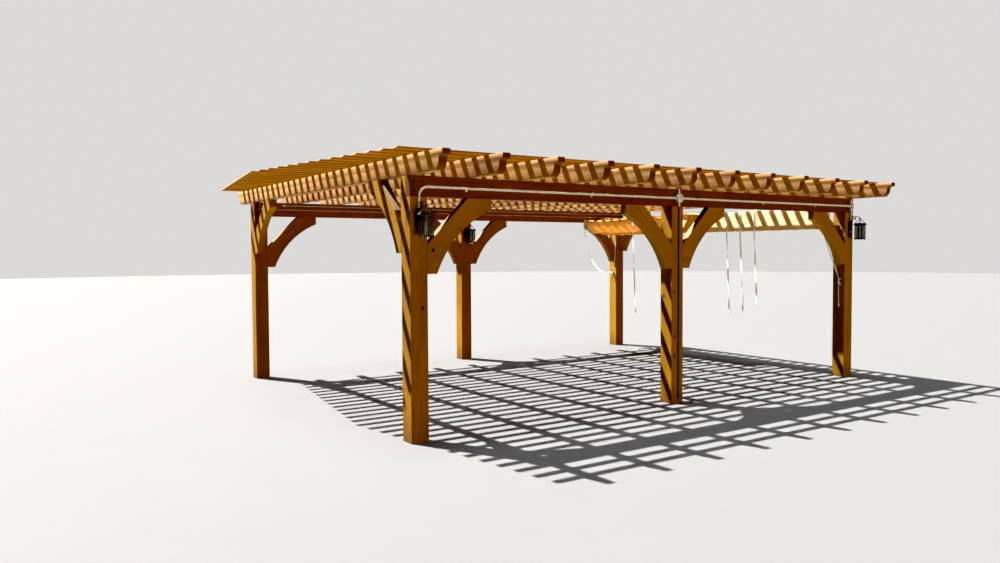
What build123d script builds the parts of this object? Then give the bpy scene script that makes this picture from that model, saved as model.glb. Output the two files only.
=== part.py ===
from build123d import *
import os
from math import sqrt, tan, radians

# Timber pergola on six posts, in millimetres.
# +X runs along the beams, +Y from the front row of posts to the back row, +Z up.
# The origin is on the ground, under the middle of the whole roof.

# Plan and heights
LENGTH = 7260.0            # outer faces of the end posts, along the beams
ROW_SPACING = 4900.0       # front row to back row, front face to front face
BEAM_UNDERSIDE = 2395.0    # headroom under the beams

# Timber sections
POST_SIDE = 190.0
BEAM_HEIGHT = 205.0
BEAM_THICKNESS = 89.0
RAFTER_HEIGHT = 190.0
RAFTER_THICKNESS = 89.0
SLAT_WIDTH = 89.0
SLAT_THICKNESS = 22.0
BRACE_THICKNESS = 89.0

# Roof
RAFTER_COUNT = 12
RAFTER_TAIL = 630.0        # rafter nose beyond the outer face of the posts
SLAT_COUNT = 27
SLAT_INSET = 295.0         # rafter nose to the centre line of the outermost slat
SLAT_END_OVERHANG = 320.0  # outermost slats, beyond the first rafter
SLAT_PEAK_OVERHANG = 760.0 # middle slat, beyond the first rafter
SLAT_GROUPS = ("slats_front", "slats_middle", "slats_back")

# Scrolled rafter tail, from the nose inwards
NOSE_HEIGHT = 54.0
LEDGE = 25.0
COVE_RADIUS = 40.0
OGEE_INSET = 60.0

# Knee braces
BRACE_LEG = 750.0          # reach along the post and along the timber above
BRACE_NOSE = 108.0         # blunt width of each end
BRACE_CUT = 460.0          # leg of the open triangle behind the straight edge
BRACE_WAIST = 186.0        # straight edge to the crown of the arch

# Conduit, boxes and cable on the front row
CONDUIT_RADIUS = 11.7
CONDUIT_RISE = 95.0        # axis above the beam's underside
CONDUIT_BEND = 95.0
FACE_CLEARANCE = 0.3       # round metal lies this far off the timber
JUNCTION_RADIUS = 50.0
JUNCTION_DEPTH = 42.0
JUNCTION_OFFSET = 10.0     # round box to the right of the middle post's centre line
JUNCTION_STUB = 60.0       # conduit above the box, and below it down to the beam's underside
CORNER_BOX = (48.0, 42.0, 75.0)
CORNER_STUB = 55.0         # conduit left standing above the corner box
CABLE_RADIUS = 9.0
CABLE_FOOT = 60.0          # lower end of the cable above the ground

# Lanterns
LANTERN_BODY = 108.0       # side of the glazed body
LANTERN_ROOF = 136.0       # eaves of the pyramid roof
LANTERN_DROP = 75.0        # roof's peak under the beams
LANTERN_ROOF_HEIGHT = 105.0
LANTERN_BODY_HEIGHT = 210.0
LANTERN_REACH = 155.0      # post face to the middle of the body
LANTERN_PLATE_DROP = 110.0 # plate's top under the beams, where the conduit ends
LANTERN_PLATE_HEIGHT = 180.0
LANTERN_PLATE_WIDTH = 88.0
LANTERN_PLATE_DEPTH = 22.0
LANTERN_FINIAL = 18.0      # side of the flat peak of the roof
LANTERN_ARM_RADIUS = 6.0
LANTERN_ARM_LET = 23.0     # foot of the arm under the top of the plate
LANTERN_ARM_OUT = 18.0     # and how far it comes out before it turns up
LANTERN_ARM_RISE = 34.0    # shoulder of the arm above the peak
LANTERN_ARM_BENDS = (16.0, 35.0)
LANTERN_EDGE = 68.0        # right lantern, in from the outer face of its post

# Guide wires and sliding shades
WIRE_RADIUS = 2.5
WIRE_DROP = 110.0          # wire axis under the rafters
WIRE_INSET = 100.0         # outer wires, in from each side edge of their shade
FIT_GAP = 0.3              # cloth to wire, cord to cloth or cleat
ANCHOR_LENGTH = 26.0       # anchor block, along the wire
ANCHOR_WIDTH = 30.0
SHADE_CLEAR = 50.0         # gathered shades stop this far short of the right posts
SHADE_EDGE_GAP = 20.0      # side edges to the faces of the posts and the back beam
SHADE_MIDDLE_GAP = 100.0   # between the two shades
SHADE_DROP = 335.0         # wire to the bottom of the folds
FRONT_DEPTH = 280.0        # gathered depth along the wires
BACK_DEPTH = 380.0
LEAD_REACH = 390.0         # back shade: leading edge ahead of the folds
LEAD_DROP = 50.0           # leading edge under the wire
LEAD_FOLD_REACH = 215.0    # bottom of the slack first fold, ahead of the folds
LEAD_FOLD_DROP = 305.0
CLOTH_THICKNESS = 28.0     # slack fold, measured along the wires

# Cleats and cords
CORD_RADIUS = 5.0
PULL_LEAN = 80.0           # foot of each pull cord, forward of its head
FRONT_PULLS = ((1690.0, 840.0), (1420.0, 910.0), (1150.0, 985.0))  # in from the edge, foot height
BACK_PULL = (1317.0, 790.0)
TIE_SETBACK = 120.0        # first tie cord, in from the shades' right end
TIE_SPACING = 100.0
TIE_HEAD = 45.0            # head of the tie cords above the bottom of the folds
TIE_TAIL = 385.0           # loose end below the cleat
TIE_BOW = 20.0             # sag of a tie cord off its straight line
TIE_KNEE = 50.0            # back tie bends round the brace this far under its foot
SLACK_DROP = 680.0         # slack cord: pull down from the leading edge
SLACK_SIDE = 380.0         # and sideways into the cleat
SLACK_RUNS = 14            # straight runs along the slack cord
TIE_RUNS = 6               # and along a front tie cord
TAIL_RUNS = 3
KNEE_RUNS = 4
CLEAT_SIDE = 18.0          # section of the cleat's bar
CLEAT_PROUD = 34.0         # post face to the middle of the bar
CLEAT_HEIGHT = 200.0
CLEAT_FOOT_HEIGHT = 60.0
CLEAT_INSET = 62.0         # bar in from the post's front face
CLEAT_CLEAR = 145.0        # foot of the brace to the top of the bar
CLEAT_HOLD = 46.0          # where the cords meet the bar, above its middle

# Worked out from the sizes above
DEPTH = ROW_SPACING + POST_SIDE
BEAM_TOP = BEAM_UNDERSIDE + BEAM_HEIGHT
RAFTER_TOP = BEAM_TOP + RAFTER_HEIGHT
LEFT = (SLAT_PEAK_OVERHANG - LENGTH) / 2
RIGHT = LEFT + LENGTH
FRONT = -DEPTH / 2
BACK_ROW = FRONT + ROW_SPACING
NOSE_FRONT = FRONT - RAFTER_TAIL
NOSE_BACK = FRONT + DEPTH + RAFTER_TAIL
POST_X = {
    "left": LEFT,
    "middle": LEFT + (LENGTH - POST_SIDE) / 2,
    "right": RIGHT - POST_SIDE,
}
ROW_Y = {"front": FRONT, "back": BACK_ROW}
RAFTER_PITCH = (LENGTH - RAFTER_THICKNESS) / (RAFTER_COUNT - 1)
SLAT_FIRST = NOSE_FRONT + SLAT_INSET
SLAT_PITCH = (NOSE_BACK - NOSE_FRONT - 2 * SLAT_INSET) / (SLAT_COUNT - 1)
LANTERN_PEAK = BEAM_UNDERSIDE - LANTERN_DROP
LANTERN_EAVES = LANTERN_PEAK - LANTERN_ROOF_HEIGHT
PLATE_TOP = BEAM_UNDERSIDE - LANTERN_PLATE_DROP
JUNCTION_X = LEFT + LENGTH / 2 + JUNCTION_OFFSET
WIRE_Z = BEAM_TOP - WIRE_DROP
SHADE_TOP = WIRE_Z - WIRE_RADIUS - FIT_GAP
SHADE_BOTTOM = WIRE_Z - SHADE_DROP
SHADE_RIGHT = RIGHT - POST_SIDE - SHADE_CLEAR
SHADE_NEAR = FRONT + POST_SIDE + SHADE_EDGE_GAP
SHADE_FAR = BACK_ROW - SHADE_EDGE_GAP
SHADE_MIDDLE = (SHADE_NEAR + SHADE_FAR) / 2
FRONT_SHADE = (SHADE_NEAR, SHADE_MIDDLE - SHADE_MIDDLE_GAP / 2)
BACK_SHADE = (SHADE_MIDDLE + SHADE_MIDDLE_GAP / 2, SHADE_FAR)
FRONT_LEAD = SHADE_RIGHT - FRONT_DEPTH
BACK_FOLDS = SHADE_RIGHT - BACK_DEPTH
BACK_LEAD = BACK_FOLDS - LEAD_REACH
LEAD_EDGE_Z = WIRE_Z - LEAD_DROP
CORD_OFFSET = CORD_RADIUS + FIT_GAP
BRACE_FOOT = BEAM_UNDERSIDE - BRACE_LEG
CLEAT_Z = BRACE_FOOT - CLEAT_CLEAR - CLEAT_HEIGHT / 2
CLEAT_X = RIGHT - POST_SIDE - CLEAT_PROUD
CLEAT_REACH = CLEAT_SIDE / 2 + CORD_OFFSET
HOLD_Z = CLEAT_Z + CLEAT_HOLD
CONDUIT_Z = BEAM_UNDERSIDE + CONDUIT_RISE
CONDUIT_Y = FRONT - CONDUIT_RADIUS - FACE_CLEARANCE


def block(x0, x1, y0, y1, z0, z1):
    """Box between two corners."""
    return Pos((x0 + x1) / 2, (y0 + y1) / 2, (z0 + z1) / 2) * Box(x1 - x0, y1 - y0, z1 - z0)


def post(x, y):
    """Post from the ground to the beam's top, its front half let in for the beam."""
    shaft = block(x, x + POST_SIDE, y, y + POST_SIDE, 0, BEAM_TOP)
    notch = block(x - 1, x + POST_SIDE + 1, y - 1, y + BEAM_THICKNESS, BEAM_UNDERSIDE, BEAM_TOP + 1)
    return shaft - notch


def beam(y):
    """Beam along a whole row, flush with the posts' front faces."""
    return block(LEFT, RIGHT, y, y + BEAM_THICKNESS, BEAM_UNDERSIDE, BEAM_TOP)


def tail_profile(nose, inward):
    """Edges of one scrolled tail in the YZ plane, from the nose's top to the underside."""
    ledge_z = RAFTER_TOP - NOSE_HEIGHT
    ogee_z = ledge_z - COVE_RADIUS
    cove_start = nose + inward * LEDGE
    cove_end = cove_start + inward * COVE_RADIUS
    tip = cove_end + inward * OGEE_INSET
    drop = ogee_z - BEAM_TOP
    ogee_radius = (drop ** 2 + OGEE_INSET ** 2) / (2 * OGEE_INSET)
    bulge = ogee_radius - sqrt(ogee_radius ** 2 - (drop / 2) ** 2)
    corner = COVE_RADIUS * (1 - sqrt(0.5))
    return [
        Line((nose, RAFTER_TOP), (nose, ledge_z)),
        Line((nose, ledge_z), (cove_start, ledge_z)),
        ThreePointArc(
            (cove_start, ledge_z),
            (cove_end - inward * corner, ledge_z - corner),
            (cove_end, ogee_z),
        ),
        ThreePointArc(
            (cove_end, ogee_z),
            (cove_end + inward * bulge, ogee_z - drop / 2),
            (tip, BEAM_TOP),
        ),
    ]


def rafter(index):
    """Rafter with a scrolled tail at both ends, laid on both beams."""
    front = tail_profile(NOSE_FRONT, 1)
    back = tail_profile(NOSE_BACK, -1)
    underside = Line(front[-1] @ 1, back[-1] @ 1)
    top = Line((NOSE_BACK, RAFTER_TOP), (NOSE_FRONT, RAFTER_TOP))
    outline = make_face(front + [underside] + back + [top])
    x = LEFT + index * RAFTER_PITCH
    plane = Plane(origin=(x, 0, 0), x_dir=(0, 1, 0), z_dir=(1, 0, 0))
    return extrude(plane * outline, RAFTER_THICKNESS)


def slat(index):
    """Slat along the beams, flush with the last rafter and overhanging the first."""
    middle = (SLAT_COUNT - 1) / 2
    share = 1 - abs(index - middle) / middle
    overhang = SLAT_END_OVERHANG + (SLAT_PEAK_OVERHANG - SLAT_END_OVERHANG) * share
    y = SLAT_FIRST + index * SLAT_PITCH
    return block(
        LEFT - overhang, RIGHT,
        y - SLAT_WIDTH / 2, y + SLAT_WIDTH / 2,
        RAFTER_TOP, RAFTER_TOP + SLAT_THICKNESS,
    )


def brace(corner, away, thickness_dir):
    """Knee brace in the corner under a timber: away points from the post, down is -Z."""
    crown = (BRACE_CUT / sqrt(2) + BRACE_WAIST) / sqrt(2)
    outline = make_face([
        Line((BRACE_CUT, 0), (BRACE_LEG, 0)),
        Line((BRACE_LEG, 0), (BRACE_LEG, -BRACE_NOSE)),
        ThreePointArc((BRACE_LEG, -BRACE_NOSE), (crown, -crown), (BRACE_NOSE, -BRACE_LEG)),
        Line((BRACE_NOSE, -BRACE_LEG), (0, -BRACE_LEG)),
        Line((0, -BRACE_LEG), (0, -BRACE_CUT)),
        Line((0, -BRACE_CUT), (BRACE_CUT, 0)),
    ])
    normal = Vector(*away).cross(Vector(0, 0, 1))
    plane = Plane(origin=corner, x_dir=away, z_dir=normal)
    span = BRACE_THICKNESS if normal.dot(Vector(*thickness_dir)) > 0 else -BRACE_THICKNESS
    return extrude(plane * outline, span)


def beam_brace(side, row, direction):
    """Brace under a beam, flush with its front face; direction is 1 to the right."""
    x = POST_X[side] + (POST_SIDE if direction > 0 else 0)
    return brace((x, ROW_Y[row], BEAM_UNDERSIDE), (direction, 0, 0), (0, 1, 0))


def rafter_brace(side, row):
    """Brace under an end rafter, flush with the post's outer face."""
    outer = LEFT if side == "left" else RIGHT
    inwards = (1, 0, 0) if side == "left" else (-1, 0, 0)
    y = FRONT + POST_SIDE if row == "front" else BACK_ROW
    away = (0, 1, 0) if row == "front" else (0, -1, 0)
    return brace((outer, y, BEAM_TOP), away, inwards)


def tube(points, radius, bend):
    """Round bar along straight runs joined by arcs; bend is one radius or a list."""
    if len(points) == 2:
        path = Line(*points)
    else:
        path = FilletPolyline(*points, radius=bend)
    start = Plane(origin=path @ 0, z_dir=path % 0)
    return sweep(start * Circle(radius), path=path)


def conduit():
    """Conduit runs on the front beam, turned down to the lanterns, with short stubs at the boxes."""
    left_x = LEFT + POST_SIDE / 2
    right_x = RIGHT - LANTERN_EDGE
    corner_top = CONDUIT_Z + CORNER_BOX[2] / 2
    routes = [
        [(left_x, PLATE_TOP), (left_x, CONDUIT_Z), (JUNCTION_X - JUNCTION_RADIUS, CONDUIT_Z)],
        [(JUNCTION_X + JUNCTION_RADIUS, CONDUIT_Z), (right_x - CORNER_BOX[0] / 2, CONDUIT_Z)],
        [(JUNCTION_X, CONDUIT_Z + JUNCTION_RADIUS), (JUNCTION_X, CONDUIT_Z + JUNCTION_RADIUS + JUNCTION_STUB)],
        [(JUNCTION_X, CONDUIT_Z - JUNCTION_RADIUS), (JUNCTION_X, BEAM_UNDERSIDE)],
        [(right_x, corner_top), (right_x, corner_top + CORNER_STUB)],
        [(right_x, corner_top - CORNER_BOX[2]), (right_x, PLATE_TOP)],
    ]
    return [tube([(x, CONDUIT_Y, z) for x, z in route], CONDUIT_RADIUS, CONDUIT_BEND) for route in routes]


def junction_boxes():
    """Round box over the middle post and the corner box over the right post."""
    drum = Plane(origin=(JUNCTION_X, FRONT, CONDUIT_Z), z_dir=(0, -1, 0)) * Circle(JUNCTION_RADIUS)
    corner_x = RIGHT - LANTERN_EDGE
    width, depth, height = CORNER_BOX
    corner = block(
        corner_x - width / 2, corner_x + width / 2,
        FRONT - depth, FRONT,
        CONDUIT_Z - height / 2, CONDUIT_Z + height / 2,
    )
    return [extrude(drum, JUNCTION_DEPTH), corner]


def post_cable():
    """Cable down the front of the middle post, out of the lower stub."""
    y = FRONT - CABLE_RADIUS - FACE_CLEARANCE
    return tube([(JUNCTION_X, y, BEAM_UNDERSIDE), (JUNCTION_X, y, CABLE_FOOT)], CABLE_RADIUS, 0)


def lantern(x, y):
    """Wall lantern: back plate on the post, arched arm, glazed body and pyramid roof."""
    plate_half = LANTERN_PLATE_WIDTH / 2
    plate_face = y - LANTERN_PLATE_DEPTH
    plate = block(x - plate_half, x + plate_half, plate_face, y, PLATE_TOP - LANTERN_PLATE_HEIGHT, PLATE_TOP)
    centre_y = y - LANTERN_REACH
    half = LANTERN_BODY / 2
    body = block(
        x - half, x + half,
        centre_y - half, centre_y + half,
        LANTERN_EAVES - LANTERN_BODY_HEIGHT, LANTERN_EAVES,
    )
    eaves = Pos(x, centre_y, LANTERN_EAVES) * Rectangle(LANTERN_ROOF, LANTERN_ROOF)
    peak = Pos(x, centre_y, LANTERN_PEAK) * Rectangle(LANTERN_FINIAL, LANTERN_FINIAL)
    roof = loft([eaves, peak])
    arm_foot = PLATE_TOP - LANTERN_ARM_LET
    arm_y = plate_face - LANTERN_ARM_OUT
    route = [
        (x, plate_face + LANTERN_ARM_RADIUS, arm_foot),
        (x, arm_y, arm_foot),
        (x, arm_y, LANTERN_PEAK + LANTERN_ARM_RISE),
        (x, centre_y, LANTERN_PEAK - LANTERN_ARM_RADIUS),
    ]
    arm = tube(route, LANTERN_ARM_RADIUS, list(LANTERN_ARM_BENDS))
    return plate + arm + body + roof


def wire_rows():
    """Y of the guide wires, three over each shade."""
    rows = []
    for low, high in (FRONT_SHADE, BACK_SHADE):
        rows += [low + WIRE_INSET, (low + high) / 2, high - WIRE_INSET]
    return rows


def wire_span():
    """X of the wires' two ends, between the anchor blocks."""
    inset = (RAFTER_THICKNESS + ANCHOR_LENGTH) / 2
    return LEFT + inset, RIGHT - inset


def guide_wire(y):
    """Taut wire between its two anchor blocks."""
    left, right = wire_span()
    return tube([(left, y, WIRE_Z), (right, y, WIRE_Z)], WIRE_RADIUS, 0)


def wire_anchors(y):
    """Blocks under the end rafters that hold one wire."""
    low, high = y - ANCHOR_WIDTH / 2, y + ANCHOR_WIDTH / 2
    bottom = WIRE_Z - 2 * WIRE_RADIUS
    left, right = wire_span()
    return [
        block(left - ANCHOR_LENGTH, left, low, high, bottom, BEAM_TOP),
        block(right, right + ANCHOR_LENGTH, low, high, bottom, BEAM_TOP),
    ]


def gathered(edges, lead):
    """Closed outer shape of the tight folds of a shade under its wires."""
    return block(lead, SHADE_RIGHT, edges[0], edges[1], SHADE_BOTTOM, SHADE_TOP)


def back_shade():
    """Tight folds of the back shade with one slack fold drawn out ahead of them."""
    fold_x = BACK_FOLDS - LEAD_FOLD_REACH
    fold_z = WIRE_Z - LEAD_FOLD_DROP
    outline = Polyline(
        (BACK_LEAD, LEAD_EDGE_Z),
        (fold_x, fold_z),
        (BACK_FOLDS, SHADE_TOP - CLOTH_THICKNESS),
        (BACK_FOLDS, SHADE_TOP),
        (BACK_FOLDS - CLOTH_THICKNESS, SHADE_TOP),
        (fold_x, fold_z + CLOTH_THICKNESS),
        (BACK_LEAD + CLOTH_THICKNESS, LEAD_EDGE_Z),
        close=True,
    )
    low, high = BACK_SHADE
    plane = Plane(origin=(0, high, 0), x_dir=(1, 0, 0), z_dir=(0, -1, 0))
    slack_fold = extrude(plane * make_face(outline), high - low)
    return gathered(BACK_SHADE, BACK_FOLDS) + slack_fold


def cleat(row):
    """Cleat on the left face of a right-hand post: one upright bar on a foot."""
    y = ROW_Y[row] + CLEAT_INSET
    half = CLEAT_SIDE / 2
    bar = block(CLEAT_X - half, CLEAT_X + half, y - half, y + half,
                CLEAT_Z - CLEAT_HEIGHT / 2, CLEAT_Z + CLEAT_HEIGHT / 2)
    foot = block(CLEAT_X, RIGHT - POST_SIDE, y - half, y + half,
                 CLEAT_Z - CLEAT_FOOT_HEIGHT / 2, CLEAT_Z + CLEAT_FOOT_HEIGHT / 2)
    return bar + foot


def rounded(points):
    """Cord through points: straight runs joined by arcs as wide as the runs allow."""
    radii = []
    for before, here, after in zip(points, points[1:], points[2:]):
        run_in = here - before
        run_out = after - here
        half_turn = radians(run_in.get_angle(run_out) / 2)
        radii.append(0.45 * min(run_in.length, run_out.length) / tan(half_turn))
    return tube(points, CORD_RADIUS, radii)


def bowed(start, end, bow, runs):
    """Points along a slightly slack stretch, its middle moved off the straight by bow."""
    steps = [index / runs for index in range(runs + 1)]
    return [start + (end - start) * t + bow * (4 * t * (1 - t)) for t in steps]


def pull_cord(x, y, top, foot_z):
    """Pull cord hanging from the leading edge of a shade, a little aslant."""
    return tube([(x - CORD_OFFSET, y, top), (x - CORD_OFFSET, y - PULL_LEAN, foot_z)], CORD_RADIUS, 0)


def front_tie(with_tail):
    """Cord from the front shade's corner to the front cleat; one of the two has a loose end."""
    bar_y = ROW_Y["front"] + CLEAT_INSET
    sag = Vector(0, 0, -TIE_BOW)
    head_y = SHADE_NEAR - CORD_OFFSET
    head_z = SHADE_BOTTOM + TIE_HEAD
    if not with_tail:
        head = Vector(SHADE_RIGHT - TIE_SETBACK, head_y, head_z)
        return rounded(bowed(head, Vector(CLEAT_X, bar_y + CLEAT_REACH, HOLD_Z), sag, TIE_RUNS))
    head = Vector(SHADE_RIGHT - TIE_SETBACK - TIE_SPACING, head_y, head_z)
    hold = Vector(CLEAT_X - CLEAT_REACH, bar_y, HOLD_Z)
    loose_end = hold - Vector(0, 0, TIE_TAIL)
    tail = bowed(hold, loose_end, Vector(-CORD_RADIUS, 0, 0), TAIL_RUNS)
    return rounded(bowed(head, hold, sag, TIE_RUNS)[:-1] + tail)


def slack_tie():
    """Slack cord from the back shade's leading edge round to the back cleat."""
    start = Vector(BACK_LEAD - CORD_OFFSET, SHADE_FAR - 2 * CORD_RADIUS, LEAD_EDGE_Z)
    end = Vector(CLEAT_X - CLEAT_REACH, BACK_ROW + CLEAT_INSET, HOLD_Z)
    down = start - Vector(0, 0, SLACK_DROP)
    aside = end - Vector(SLACK_SIDE, 0, CLEAT_HEIGHT / 2)
    curve = Bezier(start, down, aside, end)
    return rounded([curve @ (index / SLACK_RUNS) for index in range(SLACK_RUNS + 1)])


def taut_tie():
    """Cord from under the back shade's folds, in front of the brace, to the back cleat."""
    head_x = SHADE_RIGHT - 2 * CORD_RADIUS
    head = Vector(head_x, SHADE_FAR - CLOTH_THICKNESS, SHADE_BOTTOM - 2 * FIT_GAP)
    knee = Vector((head_x + CLEAT_X) / 2, BACK_ROW - CORD_OFFSET, BRACE_FOOT - TIE_KNEE)
    foot = Vector(CLEAT_X, BACK_ROW + CLEAT_INSET - CLEAT_REACH, CLEAT_Z + CLEAT_HEIGHT / 2 - CORD_RADIUS)
    return rounded(bowed(head, knee, Vector(0, -CORD_RADIUS, 0), KNEE_RUNS) + [foot])


nodes = {}
for row in ("front", "back"):
    for side in ("left", "middle", "right"):
        nodes[f"post_{row}_{side}"] = [post(POST_X[side], ROW_Y[row])]
    nodes[f"beam_{row}"] = [beam(ROW_Y[row])]
    nodes[f"brace_{row}_left"] = [beam_brace("left", row, 1)]
    nodes[f"brace_{row}_middle_left"] = [beam_brace("middle", row, -1)]
    nodes[f"brace_{row}_middle_right"] = [beam_brace("middle", row, 1)]
    nodes[f"brace_{row}_right"] = [beam_brace("right", row, -1)]
    for side in ("left", "right"):
        nodes[f"side_brace_{row}_{side}"] = [rafter_brace(side, row)]

for index in range(RAFTER_COUNT):
    nodes[f"rafter_{index + 1:02d}"] = [rafter(index)]

for index in range(SLAT_COUNT):
    group = SLAT_GROUPS[index * len(SLAT_GROUPS) // SLAT_COUNT]
    nodes.setdefault(group, []).append(slat(index))

nodes["conduit"] = conduit()
nodes["junction_boxes"] = junction_boxes()
nodes["post_cable"] = [post_cable()]
nodes["lantern_front_left"] = [lantern(LEFT + POST_SIDE / 2, FRONT)]
nodes["lantern_front_right"] = [lantern(RIGHT - LANTERN_EDGE, FRONT)]
nodes["lantern_back_middle"] = [lantern(POST_X["middle"] + POST_SIDE / 2, BACK_ROW)]

nodes["guide_wires"] = [guide_wire(y) for y in wire_rows()]
nodes["wire_anchors"] = [piece for y in wire_rows() for piece in wire_anchors(y)]
nodes["shade_front"] = [gathered(FRONT_SHADE, FRONT_LEAD)]
nodes["shade_back"] = [back_shade()]

nodes["cleats"] = [cleat("front"), cleat("back")]
for index, (inset, foot_z) in enumerate(FRONT_PULLS):
    cord = pull_cord(FRONT_LEAD, SHADE_NEAR + inset, SHADE_TOP - CORD_RADIUS, foot_z)
    nodes[f"pull_cord_front_{index + 1}"] = [cord]
nodes["pull_cord_back"] = [pull_cord(BACK_LEAD, SHADE_FAR - BACK_PULL[0], LEAD_EDGE_Z, BACK_PULL[1])]
nodes["tie_cord_front_1"] = [front_tie(True)]
nodes["tie_cord_front_2"] = [front_tie(False)]
nodes["tie_cord_back_1"] = [slack_tie()]
nodes["tie_cord_back_2"] = [taut_tie()]

os.makedirs("parts", exist_ok=True)
for name, solids in nodes.items():
    shape = solids[0] if len(solids) == 1 else Compound(children=solids)
    export_step(shape, f"parts/{name}.step")
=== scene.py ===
"""Looks of a stained timber pergola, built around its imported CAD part, in metres."""

import logging
import math
from collections.abc import Iterable
from dataclasses import dataclass, field
from enum import Enum
from itertools import product

import bmesh
import bpy
from mathutils import Matrix, Vector, noise


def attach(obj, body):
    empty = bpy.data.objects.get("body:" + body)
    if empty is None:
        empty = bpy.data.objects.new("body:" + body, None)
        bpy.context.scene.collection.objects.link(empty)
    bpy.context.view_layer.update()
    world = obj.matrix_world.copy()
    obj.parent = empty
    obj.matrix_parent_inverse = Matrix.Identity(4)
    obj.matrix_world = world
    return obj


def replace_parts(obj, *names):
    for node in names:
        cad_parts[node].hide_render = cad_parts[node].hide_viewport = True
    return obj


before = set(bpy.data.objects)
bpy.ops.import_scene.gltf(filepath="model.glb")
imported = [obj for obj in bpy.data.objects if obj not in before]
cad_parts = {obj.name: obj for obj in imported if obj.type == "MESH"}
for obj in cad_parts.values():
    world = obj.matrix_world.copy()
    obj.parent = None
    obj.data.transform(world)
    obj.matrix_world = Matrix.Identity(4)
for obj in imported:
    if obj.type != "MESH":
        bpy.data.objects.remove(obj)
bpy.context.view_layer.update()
LOG = logging.getLogger("pergola")
ROOT = "root"

Point = tuple[float, float, float]
Flat = tuple[float, float]
Outline = list[Flat]
Material, Mesh, Object = bpy.types.Material, bpy.types.Mesh, bpy.types.Object
Curve, Node, Socket = bpy.types.Curve, bpy.types.Node, bpy.types.NodeSocket

# Sizes shared by several pieces, in the part's frame
LEFT, RIGHT = -3.250, 4.010
FRONT, BACK_ROW = -2.545, 2.355
POST_LEFTS = (-3.250, 0.285, 3.820)
POST_SIDE = 0.190
BEAM_UNDERSIDE, BEAM_TOP = 2.395, 2.600
BEAM_DEPTH = 0.089
RAFTER_TOP = 2.790
WIRE_Z = 2.490

UP, DOWN, OUT = (0.0, 0.0, 1.0), (0.0, 0.0, -1.0), (0.0, -1.0, 0.0)
CORNERS = ((-1, -1), (1, -1), (1, 1), (-1, 1))


class Grain(Enum):
    """Way the fibres of a board run, in the part's frame."""

    ALONG = (1.0, 0.0, 0.0)
    ACROSS = (0.0, 1.0, 0.0)
    UPRIGHT = UP


class Slot(Enum):
    """Material slots of the part's record."""

    TIMBER = "stained_timber"
    ZINC = "galvanised_metal"
    LANTERN = "black_lantern_metal"
    CABLE = "black_cable"
    CLOTH = "shade_cloth"
    CORD = "white_cord"


def linear(colour: str) -> tuple[float, float, float, float]:
    """Turn an sRGB hex colour to linear.

    Args:
        colour: six hex digits.

    Returns:
        Red, green, blue and an alpha of 1.
    """
    parts = [int(colour[i : i + 2], 16) / 255 for i in (0, 2, 4)]
    red, green, blue = (c / 12.92 if c <= 0.04045 else ((c + 0.055) / 1.055) ** 2.4 for c in parts)
    return red, green, blue, 1.0


def show(piece: Object) -> Object:
    """Link an object to the scene.

    Args:
        piece: the object.

    Returns:
        The same object.
    """
    bpy.context.scene.collection.objects.link(piece)
    return piece


def keep(name: str, mesh: Mesh, finish: Material | None) -> Object:
    """Put a finished mesh in the scene, riding on the part's only body.

    Args:
        name: name of the piece.
        mesh: its mesh, already in place.
        finish: its material, or None where the mesh brings its own.

    Returns:
        The new object.
    """
    if finish is not None:
        mesh.materials.clear()
        mesh.materials.append(finish)
    piece = show(bpy.data.objects.new(name, mesh))
    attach(piece, ROOT)
    LOG.info("%s: %d faces", name, len(mesh.polygons))
    return piece


def smoothed(mesh: Mesh, smooth_deg: float) -> Mesh:
    """Shade a mesh's gentle edges smooth.

    Args:
        mesh: the mesh.
        smooth_deg: edges flatter than this are smooth.

    Returns:
        The same mesh.
    """
    mesh.shade_smooth()
    mesh.set_sharp_from_angle(angle=math.radians(smooth_deg))
    return mesh


def arc(centre: Flat, radii: Flat, angles: Iterable[float]) -> Outline:
    """Place points on an ellipse.

    Args:
        centre: its centre.
        radii: its two radii.
        angles: where the points are, in radians.

    Returns:
        The points.
    """
    (x, y), (wide, tall) = centre, radii
    return [(x + wide * math.cos(angle), y + tall * math.sin(angle)) for angle in angles]


def nurbs(name: str, points: list[Point], resolution: int) -> Curve:
    """Build a smooth curve through a route.

    Args:
        name: name of the curve.
        points: its control points.
        resolution: steps between two of them.

    Returns:
        The curve, without thickness.
    """
    data = bpy.data.curves.new(name, "CURVE")
    data.dimensions = "3D"
    data.resolution_u = resolution
    spline = data.splines.new("NURBS")
    spline.points.add(len(points) - 1)
    for target, point in zip(spline.points, points):
        target.co = (*point, 1.0)
    spline.order_u = 3
    spline.use_endpoint_u = True
    return data


def thicken(data: Curve, radius: float, rounds: int) -> None:
    """Give a curve a round section with closed ends.

    Args:
        data: the curve.
        radius: its new radius.
        rounds: how finely the section is divided.
    """
    data.bevel_depth = radius
    data.bevel_resolution = rounds
    data.use_fill_caps = True


def curve_mesh(data: Curve) -> Mesh:
    """Turn a curve into a mesh and remove it.

    Args:
        data: the curve.

    Returns:
        The mesh, for the caller to remove.
    """
    holder = bpy.data.objects.new("curve", data)
    mesh = bpy.data.meshes.new_from_object(holder)
    bpy.data.objects.remove(holder)
    bpy.data.curves.remove(data)
    return mesh


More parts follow.
